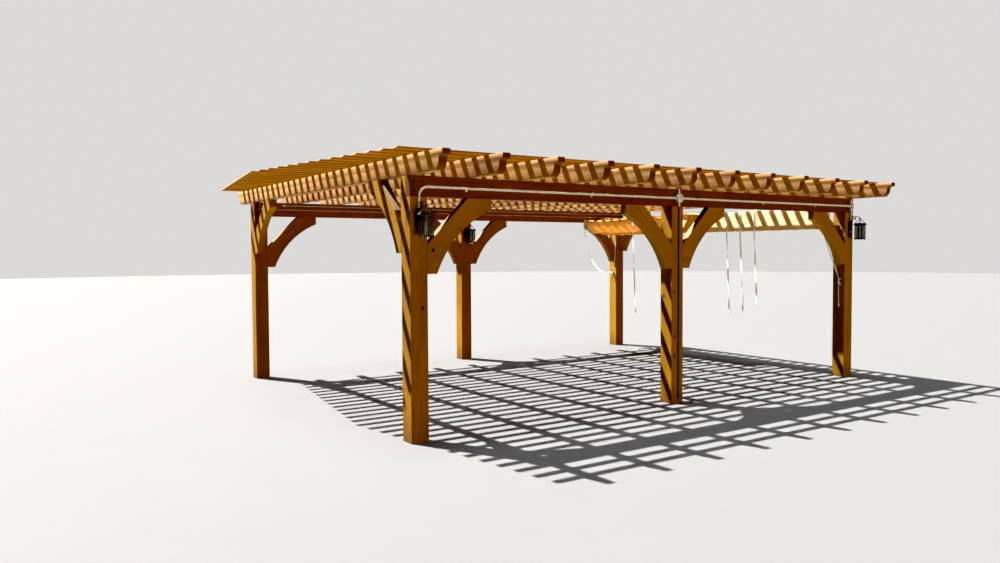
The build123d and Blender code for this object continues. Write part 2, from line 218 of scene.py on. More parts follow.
@dataclass
class Shape:
    """A mesh under construction."""

    data: bmesh.types.BMesh = field(default_factory=bmesh.new)

    def mesh(self, name: str, smooth_deg: float = 25.0) -> Mesh:
        """Finish the mesh, with its normals outwards.

        Args:
            name: name of the mesh.
            smooth_deg: edges flatter than this are smooth.

        Returns:
            The mesh.
        """
        mesh = bpy.data.meshes.new(name)
        bmesh.ops.recalc_face_normals(self.data, faces=self.data.faces)
        self.data.to_mesh(mesh)
        self.data.free()
        return smoothed(mesh, smooth_deg)

    def block(self, low: Point, high: Point, ease: float = 0.0) -> None:
        """Add a box.

        Args:
            low: lowest corner.
            high: highest corner.
            ease: width of the rounded edges.
        """
        made = bmesh.ops.create_cube(self.data, size=1.0)["verts"]
        for vert in made:
            vert.co = Vector((b if c > 0 else a) for a, b, c in zip(low, high, vert.co))
        if ease > 0:
            edges = list({edge for vert in made for edge in vert.link_edges})
            bmesh.ops.bevel(self.data, geom=edges, offset=ease, segments=2, profile=0.5, affect="EDGES")

    def turned(self, base: Point, way: Point, sides: int, *steps: tuple[float, float, float, float]) -> None:
        """Add closed drums and cones along a line, as turned on a lathe.

        Args:
            base: where the line starts.
            way: its direction, of unit length.
            sides: number of flat sides.
            steps: for each, how far along the line it starts and ends, and its radius there.
        """
        for start, end, radius, far_radius in steps:
            first, last = (Vector(base) + Vector(way) * reach for reach in (start, end))
            axis = last - first
            turn = Vector(UP).rotation_difference(axis).to_matrix().to_4x4()
            bmesh.ops.create_cone(self.data, cap_ends=True, segments=sides, radius1=radius,
                                  radius2=far_radius, depth=axis.length,
                                  matrix=Matrix.Translation((first + last) / 2) @ turn)

    def ball(self, centre: Point, radius: float) -> None:
        """Add a small ball.

        Args:
            centre: its middle.
            radius: its radius.
        """
        bmesh.ops.create_uvsphere(self.data, u_segments=16, v_segments=10, radius=radius,
                                  matrix=Matrix.Translation(centre))

    def rod(self, points: list[Point], radius: float, sides: int = 12) -> None:
        """Add a round rod bent smoothly through points.

        Args:
            points: control points of its centre line.
            radius: radius of the rod.
            sides: number of flat sides.
        """
        data = nurbs("rod", points, 8)
        thicken(data, radius, max(1, sides // 4 - 1))
        mesh = curve_mesh(data)
        self.data.from_mesh(mesh)
        bpy.data.meshes.remove(mesh)

    def skin(self, rings: list[list[Point]]) -> None:
        """Add a skin over rings of equally many points, closed at both ends.

        Args:
            rings: the rings in order.
        """
        made = [[self.data.verts.new(spot) for spot in ring] for ring in rings]
        for near, far in zip(made, made[1:]):
            for i, vert in enumerate(near):
                after = (i + 1) % len(near)
                self.data.faces.new((vert, near[after], far[after], far[i]))
        self.data.faces.new(made[0])
        self.data.faces.new(made[-1])

    def stretch(self, factors: Point) -> None:
        """Stretch all that is there about the origin.

        Args:
            factors: how much along each axis.
        """
        bmesh.ops.scale(self.data, vec=factors, verts=self.data.verts)


# Nodes and finishes


@dataclass
class Nodes:
    """One node tree, with short ways to add the nodes that it needs most."""

    tree: bpy.types.NodeTree

    def add(self, kind: str, inputs: dict | None = None, **settings: object) -> Node:
        """Add one node with its settings, values and links.

        Args:
            kind: Blender's name of the node type.
            inputs: input name or number to a value, or to the socket that feeds it.
            settings: properties of the node.

        Returns:
            The new node.
        """
        node = self.tree.nodes.new(kind)
        for name, value in settings.items():
            setattr(node, name, value)
        for key, value in (inputs or {}).items():
            if isinstance(value, Socket):
                self.tree.links.new(value, node.inputs[key])
            else:
                node.inputs[key].default_value = value
        return node

    def math(self, operation: str, *values: Socket | float) -> Socket:
        """Calculate with numbers.

        Args:
            operation: Blender's name of it.
            values: what it works on, in order.

        Returns:
            The result.
        """
        return self.add("ShaderNodeMath", dict(enumerate(values)), operation=operation).outputs[0]

    def vector(self, operation: str, *values: Socket | Point) -> Socket:
        """Calculate with vectors.

        Args:
            operation: Blender's name of it.
            values: what it works on, in order.

        Returns:
            The result, a number where the operation gives one.
        """
        node = self.add("ShaderNodeVectorMath", dict(enumerate(values)), operation=operation)
        return node.outputs["Value" if operation in ("LENGTH", "DOT_PRODUCT") else "Vector"]

    def scaled(self, value: Socket | Point, factor: Socket) -> Socket:
        """Multiply a vector by a number.

        Args:
            value: the vector.
            factor: the number.

        Returns:
            The product.
        """
        return self.add("ShaderNodeVectorMath", {0: value, "Scale": factor}, operation="SCALE").outputs[0]

    def part(self, value: Socket, axis: str) -> Socket:
        """Take one coordinate of a vector.

        Args:
            value: the vector.
            axis: X, Y or Z.

        Returns:
            The coordinate.
        """
        return self.add("ShaderNodeSeparateXYZ", {0: value}).outputs[axis]

    def ramp(self, value: Socket, low: float = 0.0, high: float = 1.0, first: float = 0.0, last: float = 1.0,
             kind: str = "LINEAR") -> Socket:
        """Map one range of numbers to another and stop at its ends.

        Args:
            value: the number.
            low: where the range starts.
            high: where it ends.
            first: result at its start.
            last: result at its end.
            kind: Blender's name of the interpolation.

        Returns:
            The result.
        """
        inputs = {"Value": value, "From Min": low, "From Max": high, "To Min": first, "To Max": last}
        return self.add("ShaderNodeMapRange", inputs, interpolation_type=kind).outputs[0]

    def mix(self, share: Socket, base: Socket | str, colour: str, way: str = "MIX") -> Socket:
        """Mix a plain colour into another one.

        Args:
            share: how much of the plain colour.
            base: the colour below it.
            colour: the plain colour.
            way: Blender's name of the blend.

        Returns:
            The mixed colour.
        """
        below = linear(base) if isinstance(base, str) else base
        return self.add("ShaderNodeMix", {0: share, 6: below, 7: linear(colour)}, data_type="RGBA",
                        blend_type=way).outputs[2]

    def noise(self, place: Socket, scale: float, detail: float) -> Socket:
        """Add noise.

        Args:
            place: where it is read.
            scale: features per metre.
            detail: octaves.

        Returns:
            Its value from 0 to 1.
        """
        inputs = {"Vector": place, "Scale": scale, "Detail": detail}
        return self.add("ShaderNodeTexNoise", inputs).outputs["Fac"]

    def bump(self, height: Socket, strength: float, distance: float) -> Socket:
        """Turn height into a bent normal.

        Args:
            height: the height, about 0 to 1.
            strength: share of the full effect.
            distance: real height of 1, in metres.

        Returns:
            The normal.
        """
        return self.add("ShaderNodeBump", {"Height": height, "Strength": strength,
                                           "Distance": distance}).outputs[0]

    def attribute(self, name: str, output: str = "Vector") -> Socket:
        """Read an attribute of the mesh.

        Args:
            name: name of the attribute.
            output: Vector, or Fac for a number.

        Returns:
            Its value.
        """
        return self.add("ShaderNodeAttribute", attribute_name=name).outputs[output]

    def place(self) -> Socket:
        """Read the place on the object."""
        return self.add("ShaderNodeTexCoord").outputs["Object"]

    def shader(self, **inputs: object) -> Socket:
        """Add the Principled shader.

        Args:
            inputs: its inputs, with _ for each space in a name.

        Returns:
            Its output.
        """
        named = {key.replace("_", " "): value for key, value in inputs.items()}
        return self.add("ShaderNodeBsdfPrincipled", named).outputs["BSDF"]


@dataclass(frozen=True)
class Finish:
    """A real finish that can build its material."""

    name: str

    def material(self) -> Material:
        """Build the material.

        Returns:
            The material.
        """
        material = bpy.data.materials.new(self.name)
        material.use_nodes = True
        material.node_tree.nodes.clear()
        nodes = Nodes(material.node_tree)
        nodes.add("ShaderNodeOutputMaterial", {"Surface": self.surface(nodes)})
        return material

    def surface(self, nodes: Nodes) -> Socket:
        """Add the nodes of the surface.

        Args:
            nodes: the material's tree.

        Returns:
            The shader.
        """
        raise NotImplementedError


@dataclass(frozen=True)
class StainedTimber(Finish):
    """Sawn softwood under a semi-transparent oil stain.

    The stain is golden; the faces that look to the front take a darker, redder tint as painted shade, and
    those that look back into the sun are dulled to grey brown as painted shade.
    Growth rings, knots and drying checks show through it.
    """

    light: str
    dark: str
    check_depth: float
    end: str
    # painted shade: this tint is multiplied onto the faces that look to the front, out of the sun
    front_shade_tint: str = "F3C495"  # tint of the faces towards the front, out of the sun
    ring_mm: float = 6.0  # real rings are 2 to 4 mm, drawn coarser so that they show at this distance
    fibre_mm: float = 3.0
    knot_mm: float = 22.0
    knot_spacing: float = 0.27

    def surface(self, nodes: Nodes) -> Socket:
        """Add the nodes; they read each board's own grain coordinates, tone, and end grain with the painted
        shade of the scrolled tails.

        Args:
            nodes: the material's tree.

        Returns:
            The shader.
        """
        grain, tone = nodes.attribute("grain"), nodes.attribute("tone", "Fac")
        place = nodes.vector("ADD", grain, nodes.scaled((31.7, 17.3, 11.1), tone))
        knot, push = self.knots(nodes, place)
        ring = self.rings(nodes, grain, place, tone, push)
        fine = 1000 / self.fibre_mm
        fibre = self.streaks(nodes, place, (6.0, fine, fine), 2.0)
        blotch = self.streaks(nodes, place, (1.3, 4.5, 4.5), 3.0)
        crack = self.checks(nodes, place, blotch)
        colour = nodes.mix(knot, self.stain(nodes, tone, ring, fibre, blotch), "2E1406")
        colour = nodes.mix(crack, colour, "1E0D05")
        # Painted shade: the end colour goes on the end grain and also on the scrolled tails' undersides,
        # which stand in shade
        end_and_shade_share = nodes.math("MULTIPLY", nodes.attribute("end_grain_and_tail_shade", "Fac"), 0.8)
        colour = nodes.mix(end_and_shade_share, colour, self.end)
        ridge = nodes.math("MULTIPLY_ADD", fibre, 0.5, ring)
        cut = nodes.math("MULTIPLY_ADD", crack, -4.0, ridge)
        return nodes.shader(
            Base_Color=self.weather_and_paint_light(nodes, colour, blotch), Roughness=nodes.ramp(fibre, 0.3, 0.7, 0.55, 0.75),
            Specular_IOR_Level=0.18,  # oil soaks in and leaves hardly any gloss
            Normal=nodes.bump(cut, 0.5, 0.0006))

    @staticmethod
    def streaks(nodes: Nodes, place: Socket, scale: Point, detail: float) -> Socket:
        """Add noise that is stretched along the grain.

        Args:
            nodes: the material's tree.
            place: grain coordinates.
            scale: features per metre along, across and through the board.
            detail: octaves.

        Returns:
            Its value from 0 to 1.
        """
        return nodes.noise(nodes.vector("MULTIPLY", place, scale), 1.0, detail)

    def knots(self, nodes: Nodes, place: Socket) -> tuple[Socket, Socket]:
        """Add dark knots, a little longer along the grain.

        Args:
            nodes: the material's tree.
            place: grain coordinates.

        Returns:
            The knots from 0 to 1, and how far they push the rings aside, in metres.
        """
        squeezed = nodes.vector("MULTIPLY", place, (0.75, 1.0, 1.0))
        cells = nodes.add("ShaderNodeTexVoronoi", {"Vector": squeezed, "Scale": 1 / self.knot_spacing})
        reach = nodes.math("MULTIPLY", cells.outputs["Distance"], self.knot_spacing)
        pick = nodes.math("GREATER_THAN", cells.outputs["Color"], 0.4)
        radius = self.knot_mm / 1000
        near = nodes.ramp(reach, radius * 0.55, radius, 1.0, 0.0, "SMOOTHSTEP")
        swirl = nodes.ramp(reach, 0.0, radius * 4, 0.018, 0.0, "SMOOTHSTEP")
        return nodes.math("MULTIPLY", near, pick), nodes.math("MULTIPLY", swirl, pick)

    def rings(self, nodes: Nodes, grain: Socket, place: Socket, tone: Socket, push: Socket) -> Socket:
        """Add growth rings about a pith that lies off each board's middle.

        Args:
            nodes: the material's tree.
            grain: coordinates about the board's own middle.
            place: the same, moved to another part of the noise for each board.
            tone: the board's random number.
            push: how far knots push the rings aside.

        Returns:
            Late wood as 1 and early wood as 0.
        """
        slow = self.streaks(nodes, place, (0.7, 6.0, 6.0), 2.0)
        off_pith = nodes.vector("ADD", grain, nodes.scaled((0.0, 0.11, 0.16), tone))
        distance = nodes.vector("LENGTH", nodes.vector("MULTIPLY", off_pith, (0.0, 1.0, 1.0)))
        bent = nodes.math("ADD", nodes.math("MULTIPLY_ADD", slow, 0.09, distance), push)
        wave = nodes.math("SINE", nodes.math("MULTIPLY", bent, 2 * math.pi * 1000 / self.ring_mm))
        return nodes.ramp(wave, -0.4, 1.0)

    def checks(self, nodes: Nodes, place: Socket, blotch: Socket) -> Socket:
        """Add drying checks: long hairline cracks along the grain.

        Args:
            nodes: the material's tree.
            place: grain coordinates.

        Returns:
            The cracks from 0 to 1.
        """
        level = self.streaks(nodes, place, (0.9, 24.0, 24.0), 1.0)
        off = nodes.math("ABSOLUTE", nodes.math("SUBTRACT", level, 0.5))
        hairline = nodes.ramp(off, 0.004, 0.014, 1.0, 0.0)
        check = nodes.math("MULTIPLY", hairline, nodes.ramp(blotch, 0.52, 0.60))
        return nodes.math("MULTIPLY", check, self.check_depth)

    def stain(self, nodes: Nodes, tone: Socket, ring: Socket, fibre: Socket, blotch: Socket) -> Socket:
        """Add the stain over rings and fibres, with each board's own tone.

        Args:
            nodes: the material's tree.
            tone: the board's random number.
            ring: growth rings.
            fibre: fine noise along the grain.
            blotch: slow noise.

        Returns:
            The colour.
        """
        body = nodes.mix(nodes.math("MULTIPLY", ring, 0.36), self.light, self.dark)
        value = nodes.ramp(tone, first=0.88, last=1.12)
        for source, low, high in ((fibre, 0.80, 1.14), (blotch, 0.78, 1.18)):
            value = nodes.math("MULTIPLY", value, nodes.ramp(source, 0.3, 0.7, low, high))
        hue = nodes.ramp(tone, first=0.492, last=0.506)
        return nodes.add("ShaderNodeHueSaturation", {"Hue": hue, "Value": value, "Color": body}).outputs[0]

    def weather_and_paint_light(self, nodes: Nodes, colour: Socket, blotch: Socket) -> Socket:
        """Age the stain and paint light on it: silver on top, also a painted highlight; painted shade as a
        dull grey brown on the faces that look back into the sun and as a darker red on those that look to the
        front; splashed dark at the foot.

        Args:
            nodes: the material's tree.
            colour: the fresh colour.
            blotch: slow noise.

        Returns:
            The aged colour.
        """
        facing = nodes.add("ShaderNodeNewGeometry").outputs["Normal"]
        back, top = nodes.part(facing, "Y"), nodes.part(facing, "Z")
        # Painted shade: the faces that look to the front are multiplied by a darker, redder tint
        colour = nodes.mix(nodes.ramp(back, -0.3, -0.9), colour, self.front_shade_tint, "MULTIPLY")
        # Painted shade: the faces that look back into the sun are dulled to grey brown, so that the sun on
        # them stays below white
        colour = nodes.mix(nodes.ramp(back, 0.35, 0.85, 0.0, 0.85), colour, "725634")
        worn = nodes.ramp(blotch, 0.35, 0.65, 0.88, 1.0)
        # Silver grey on the faces that look up: weathering, and also a painted highlight, as the grey shows
        # pale where the sun lights the tops and the brace edges
        colour = nodes.mix(nodes.math("MULTIPLY", nodes.ramp(top, 0.50, 0.72), worn), colour, "645A50")
        height = nodes.part(nodes.place(), "Z")
        return nodes.mix(nodes.ramp(height, 0.02, 0.30, 0.5, 0.0), colour, "4A2E18")


@dataclass(frozen=True)
class Metal(Finish):
    """Metal, bare or coated: galvanised conduit, black lantern iron or stainless wire.

    Mottling is the zinc's spangle, or dust and chalking on a coating.
    """

    colour: str
    mottle: str
    metallic: float
    roughness: float
    mottle_mm: float

    def surface(self, nodes: Nodes) -> Socket:
        """Add the nodes, on Object coordinates.

        Args:
            nodes: the material's tree.

        Returns:
            The shader.
        """
        place = nodes.place()
        patches, fine = nodes.noise(place, 1000 / self.mottle_mm, 4.0), nodes.noise(place, 900.0, 1.0)
        return nodes.shader(
            Base_Color=nodes.mix(nodes.ramp(patches, 0.42, 0.68), self.colour, self.mottle),
            Roughness=nodes.ramp(patches, first=self.roughness - 0.08, last=self.roughness + 0.14),
            Metallic=self.metallic, Normal=nodes.bump(fine, 0.25, 0.0003))


@dataclass(frozen=True)
class SeededGlass(Finish):
    """Hand-made lantern glass: clear, with small bubbles and a slight ripple that bends what is behind it."""

    def surface(self, nodes: Nodes) -> Socket:
        """Add the nodes, on Object coordinates.

        Args:
            nodes: the material's tree.

        Returns:
            The shader.
        """
        place = nodes.place()
        seeds = nodes.add("ShaderNodeTexVoronoi", {"Vector": place, "Scale": 160.0}).outputs["Distance"]
        bubble = nodes.ramp(seeds, 0.0, 0.25, 1.0, 0.0)
        height = nodes.math("MULTIPLY_ADD", bubble, 0.4, nodes.noise(place, 45.0, 1.0))
        return nodes.shader(Base_Color=linear("E9F0E4"), Transmission_Weight=1.0, IOR=1.46, Roughness=0.06,
                            Normal=nodes.bump(height, 0.4, 0.001))


@dataclass(frozen=True)
class Woven(Finish):
    """Woven cloth, matt, and thin enough for sun from behind to glow in it.

    The canvas is cream outdoor acrylic that glows orange against the sun. The pull cords are white nylon
    webbing.
    """

    colour: str
    soiled: str
    hem: str
    glow: str
    through: float
    thread_mm: float  # real threads are 0.5 mm, drawn coarser so that the weave shows

    def surface(self, nodes: Nodes) -> Socket:
        """Add the nodes, on the cloth's own coordinates.

        Args:
            nodes: the material's tree.

        Returns:
            The shader.
        """
        cloth = nodes.attribute("cloth")
        pitch = 2 * math.pi * 1000 / self.thread_mm
        phases = [nodes.math("MULTIPLY", nodes.part(cloth, axis), pitch) for axis in "XY"]
        threads = [nodes.math("SINE", phase) for phase in phases]
        normal = nodes.bump(nodes.math("MULTIPLY", *threads), 0.3, 0.0006)
        dirt = nodes.ramp(nodes.noise(cloth, 3.0, 4.0), 0.45, 0.75, 0.0, 0.30)
        # Doubled cloth in the side hems lets less light through and looks darker
        hem = nodes.math("MULTIPLY", nodes.math("LESS_THAN", nodes.part(cloth, "Z"), 0.03), 0.5)
        colour = nodes.mix(hem, nodes.mix(dirt, self.colour, self.soiled), self.hem)
        matt = nodes.shader(Base_Color=colour, Roughness=0.9, Sheen_Weight=0.1, Normal=normal)
        glow = {"Color": linear(self.glow), "Normal": normal}
        lit = nodes.add("ShaderNodeBsdfTranslucent", glow).outputs["BSDF"]
        share = nodes.ramp(hem, first=self.through, last=0.1)
        return nodes.add("ShaderNodeMixShader", {0: share, 1: matt, 2: lit}).outputs[0]


@dataclass(frozen=True)
class Sheath(Finish):
    """Braided or moulded sheath of a cord or cable: matt, with fine cross ribs from the braid."""

    colour: str
    dirt: str
    roughness: float
    rib_mm: float

    def surface(self, nodes: Nodes) -> Socket:
        """Add the nodes, on Object coordinates.

        Args:
            nodes: the material's tree.

        Returns:
            The shader.
        """
        place = nodes.place()
        share = nodes.ramp(nodes.noise(place, 14.0, 3.0), 0.45, 0.75)
        ribs = nodes.add("ShaderNodeTexWave", {"Vector": place, "Scale": 500 / self.rib_mm / math.pi,
                                               "Distortion": 1.5}, bands_direction="DIAGONAL").outputs["Fac"]
        return nodes.shader(Base_Color=nodes.mix(share, self.colour, self.dirt), Roughness=self.roughness,
                            Normal=nodes.bump(ribs, 0.4, 0.0006))


@dataclass(frozen=True)
class Matt(Finish):
    """Plain painted or moulded surface with a little unevenness, for the floor and small plastic pieces."""

    colour: str
    roughness: float

    def surface(self, nodes: Nodes) -> Socket:
        """Add the nodes, on Object coordinates.

        Args:
            nodes: the material's tree.

        Returns:
            The shader.
        """
        value = nodes.ramp(nodes.noise(nodes.place(), 2.0, 3.0), first=0.97, last=1.03)
        uneven = {"Color": linear(self.colour), "Value": value}
        colour = nodes.add("ShaderNodeHueSaturation", uneven).outputs[0]
        return nodes.shader(Base_Color=colour, Roughness=self.roughness)


def made(finish: Finish) -> Material:
    """Say that a field holds the material of a finish.

    Args:
        finish: the finish.

    Returns:
        The field.
    """
    return field(default_factory=finish.material)


@dataclass(frozen=True)
class Finishes:
    """All materials of the part."""

    # Softwood under a golden brown oil stain
    post: Material = made(StainedTimber(
        "stained_cedar_front_posts", light="A0741C", dark="70460E", check_depth=1.0, end="5E3C1C",
        front_shade_tint="FAE8D0", knot_spacing=0.16))
    # The back posts' front faces get a much darker tint than the front posts': painted shade for the deeper
    # shade under the roof
    back_post: Material = made(StainedTimber(
        "stained_cedar_back_posts", light="B28422", dark="7C5014", check_depth=0.8, end="5E3C1C",
        front_shade_tint="B08E64", knot_spacing=0.20))
    beam: Material = made(StainedTimber(
        "stained_cedar_beams", light="6C421C", dark="452610", check_depth=0.8, end="5E3C1C", front_shade_tint="FFDCB8"))
    # The rafters' end colour is darker than the other timbers': real end grain, and painted shade on the
    # tails' ends, which look to the front out of the sun
    rafter: Material = made(StainedTimber(
        "stained_cedar_rafters", light="D2A26A", dark="A26F3B", check_depth=0.5, end="4A2C12", front_shade_tint="D8A078"))
    # The slats' pale end colour is painted sunlight on their cut ends, which look to the left into the sun
    slat: Material = made(StainedTimber(
        "stained_cedar_slats", light="BE921C", dark="825C10", check_depth=0.3, end="CDB285"))
    # Metals: zinc-coated conduit, powder-coated lantern iron and drawn wire
    zinc: Material = made(Metal(
        "galvanised_steel", colour="E0E2DA", mottle="C0C4BA", metallic=0.35, roughness=0.40, mottle_mm=25.0))
    iron: Material = made(Metal(
        "black_powder_coated_iron", colour="0B0B0C", mottle="1D1D1E", metallic=0.0, roughness=0.38,
        mottle_mm=30.0))
    steel: Material = made(Metal(
        "stainless_steel", colour="C9CBCB", mottle="A9ABAB", metallic=1.0, roughness=0.30, mottle_mm=12.0))
    glass: Material = made(SeededGlass("seeded_glass"))
    # Outdoor acrylic cloth and nylon webbing. The back shade's copy of the cloth is darker and more orange
    # and lets less light through: painted shade, and a painted orange glow, for how the sun comes through it
    # in shade.
    canvas: Material = made(Woven(
        "front_acrylic_canvas", colour="FFFCEE", soiled="EAD8A4", hem="C8A458", glow="FFEE90",
        through=0.50, thread_mm=4.0))
    back_canvas_painted_shade: Material = made(Woven(
        "acrylic_canvas_painted_shade", colour="F0D890", soiled="D8B868", hem="C09440", glow="FFCC5C",
        through=0.33, thread_mm=4.0))
    webbing: Material = made(Woven(
        "woven_nylon_webbing", colour="FAFAFF", soiled="E6E4EC", hem="FAFAFF", glow="FFFFFF",
        through=0.60, thread_mm=3.0))
    # Braided polyester, moulded rubber, wax-coloured card and moulded nylon
    cord: Material = made(Sheath(
        "braided_white_cord", colour="FAFAFA", dirt="E2DED4", roughness=0.8, rib_mm=3.0))
    rubber: Material = made(Sheath(
        "black_rubber_sheath", colour="101011", dirt="1F1E1D", roughness=0.55, rib_mm=2.0))
    candle: Material = made(Matt("cream_candle_sleeve", colour="E6D9B4", roughness=0.45))
    nylon: Material = made(Matt("white_nylon", colour="E4E2DA", roughness=0.4))


# Geometry node trees


@dataclass
class Tree(Nodes):
    """Geometry node tree with named inputs, run once on a host object and kept as a plain mesh."""

    tree: bpy.types.NodeTree = field(init=False)
    name: str
    inputs: dict[str, str]
    source: Node = field(init=False)

    def __post_init__(self) -> None:
        """Make the empty tree and its sockets."""
        self.tree = bpy.data.node_groups.new(self.name, "GeometryNodeTree")
        face = self.tree.interface
        face.new_socket("Geometry", in_out="INPUT", socket_type="NodeSocketGeometry")
        for label, kind in self.inputs.items():
            face.new_socket(label, in_out="INPUT", socket_type=f"NodeSocket{kind}")
        face.new_socket("Geometry", in_out="OUTPUT", socket_type="NodeSocketGeometry")
        self.source = self.add("NodeGroupInput")

    def copies(self, points: Socket, **inputs: Socket) -> Socket:
        """Put a copy of the template at each point.

        Args:
            points: the points.
            inputs: other inputs of the node.

        Returns:
            The instances.
        """
        copied = self.add("GeometryNodeObjectInfo", {"Object": self.source.outputs["Template"]},
                          transform_space="ORIGINAL").outputs["Geometry"]
        placed = {"Points": points, "Instance": copied, **inputs}
        return self.add("GeometryNodeInstanceOnPoints", placed).outputs[0]

    def random(self) -> Socket:
        """Draw a random number from 0 to 1 for each point or instance."""
        return self.add("FunctionNodeRandomValue", {"Seed": self.source.outputs["Seed"]},
                        data_type="FLOAT").outputs[1]

    def close(self, geometry: Socket) -> None:
        """Set the material of a realised geometry and link the output.

        Args:
            geometry: the socket that carries plain geometry.
        """
        finish = self.source.outputs["Finish"]
        dressed = self.add("GeometryNodeSetMaterial", {0: geometry, "Material": finish})
        self.add("NodeGroupOutput", {0: dressed.outputs[0]})

    def run(self, name: str, pattern: Mesh, cloud: Mesh, values: dict[str, object], slot: Slot) -> Object:
        """Run the tree once and keep the result as one piece.

        Args:
            name: name of the piece.
            pattern: mesh that is copied, around its own origin.
            cloud: mesh of the host object.
            values: the tree's other inputs.
            slot: the record's material slot; not used.

        Returns:
            The piece.
        """
        template = show(bpy.data.objects.new(f"{name}_template", pattern))
        host = show(bpy.data.objects.new(name, cloud))
        modifier = host.modifiers.new(self.name, "NODES")
        modifier.node_group = self.tree
        sockets = {item.name: item.identifier for item in self.tree.interface.items_tree
                   if item.item_type == "SOCKET" and item.in_out == "INPUT"}
        for label, value in {"Template": template, **values}.items():
            modifier[sockets[label]] = value
        bpy.context.view_layer.update()
        evaluated = host.evaluated_get(bpy.context.evaluated_depsgraph_get())
        mesh = bpy.data.meshes.new_from_object(evaluated)
        host.modifiers.remove(modifier)
        bpy.data.objects.remove(host)
        bpy.data.objects.remove(template)
        return keep(name, smoothed(mesh, 25.0), None)


class Repeater(Tree):
    """Copies one template to every vertex of a cloud of points, with an optional random turn."""

    def __init__(self) -> None:
        """Build the tree."""
        super().__init__("copies_on_points", {"Template": "Object", "Turn": "Vector", "Seed": "Int",
                                              "Finish": "Material"})
        turn = self.scaled(self.source.outputs["Turn"], self.random())
        copies = self.copies(self.source.outputs[0], Rotation=turn)
        self.close(self.add("GeometryNodeRealizeInstances", {0: copies}).outputs[0])

    def place_at(self, name: str, pattern: Mesh, points: list[Point], finish: Material, slot: Slot,
                 turn: Point = (0.0, 0.0, 0.0), seed: int = 1) -> Object:
        """Copy a mesh to points and keep the result as one piece.

        Args:
            name: name of the piece.
            pattern: mesh that is copied, around its own origin.
            points: where the copies go.
            finish: material of the copies.
            slot: the record's material slot.
            turn: largest random turn about each axis, in radians.
            seed: seed of the random turn.

        Returns:
            The piece.
        """
        cloud = bpy.data.meshes.new(name)
        cloud.from_pydata(points, [], [])
        return self.run(name, pattern, cloud, {"Turn": turn, "Seed": seed, "Finish": finish}, slot)


class BoardRow(Tree):
    """Lays copies of one board side by side, each with its own tone, and trims their left ends to a point."""

    def __init__(self) -> None:
        """Build the tree."""
        super().__init__("row_of_boards", {
            "Template": "Object", "Count": "Int", "Start": "Vector", "Step": "Vector", "Seed": "Int",
            "Trim": "Float", "Trim Left Of": "Float", "Finish": "Material"})
        given = self.source.outputs
        line = self.add("GeometryNodeMeshLine", {"Count": given["Count"], "Start Location": given["Start"],
                                                 "Offset": given["Step"]}, mode="OFFSET")
        toned = self.mark(self.copies(line.outputs[0]), "tone", self.random())
        share = self.math("DIVIDE", self.add("GeometryNodeInputIndex").outputs[0],
                          self.math("SUBTRACT", given["Count"], 1.0))
        away = self.math("ABSOLUTE", self.math("MULTIPLY_ADD", share, 2.0, -1.0))
        real = self.add("GeometryNodeRealizeInstances", {0: self.mark(toned, "away", away)}).outputs[0]
        across = self.part(self.add("GeometryNodeInputPosition").outputs[0], "X")
        at_end = self.add("FunctionNodeCompare", {0: across, 1: given["Trim Left Of"]}, data_type="FLOAT",
                          operation="LESS_THAN").outputs[0]
        how_far = self.add("GeometryNodeInputNamedAttribute", {"Name": "away"}, data_type="FLOAT").outputs[0]
        trim = self.math("MULTIPLY", how_far, given["Trim"])
        cut = self.add("ShaderNodeCombineXYZ", {"X": trim}).outputs[0]
        self.close(self.add("GeometryNodeSetPosition", {"Geometry": real, "Selection": at_end,
                                                        "Offset": cut}).outputs[0])

    def mark(self, copies: Socket, name: str, value: Socket) -> Socket:
        """Write a number on each instance.

        Args:
            copies: the instances.
            name: name of the attribute.
            value: the number.

        Returns:
            The marked instances.
        """
        return self.add("GeometryNodeStoreNamedAttribute", {"Geometry": copies, "Name": name, "Value": value},
                        data_type="FLOAT", domain="INSTANCE").outputs[0]

    def lay(self, name: str, board: Mesh, values: dict[str, object]) -> Object:
        """Lay the row and keep it as one piece of timber.

        Args:
            name: name of the piece.
            board: mesh of one board.
            values: the tree's other inputs.

        Returns:
            The piece.
        """
        return self.run(name, board, bpy.data.meshes.new(name), values, Slot.TIMBER)


@dataclass(frozen=True)
class Kit:
    """What every sub-assembly is built with: the materials and the two node trees."""

    finishes: Finishes = field(default_factory=Finishes)
    repeater: Repeater = field(default_factory=Repeater)
    row: BoardRow = field(default_factory=BoardRow)


# Timber


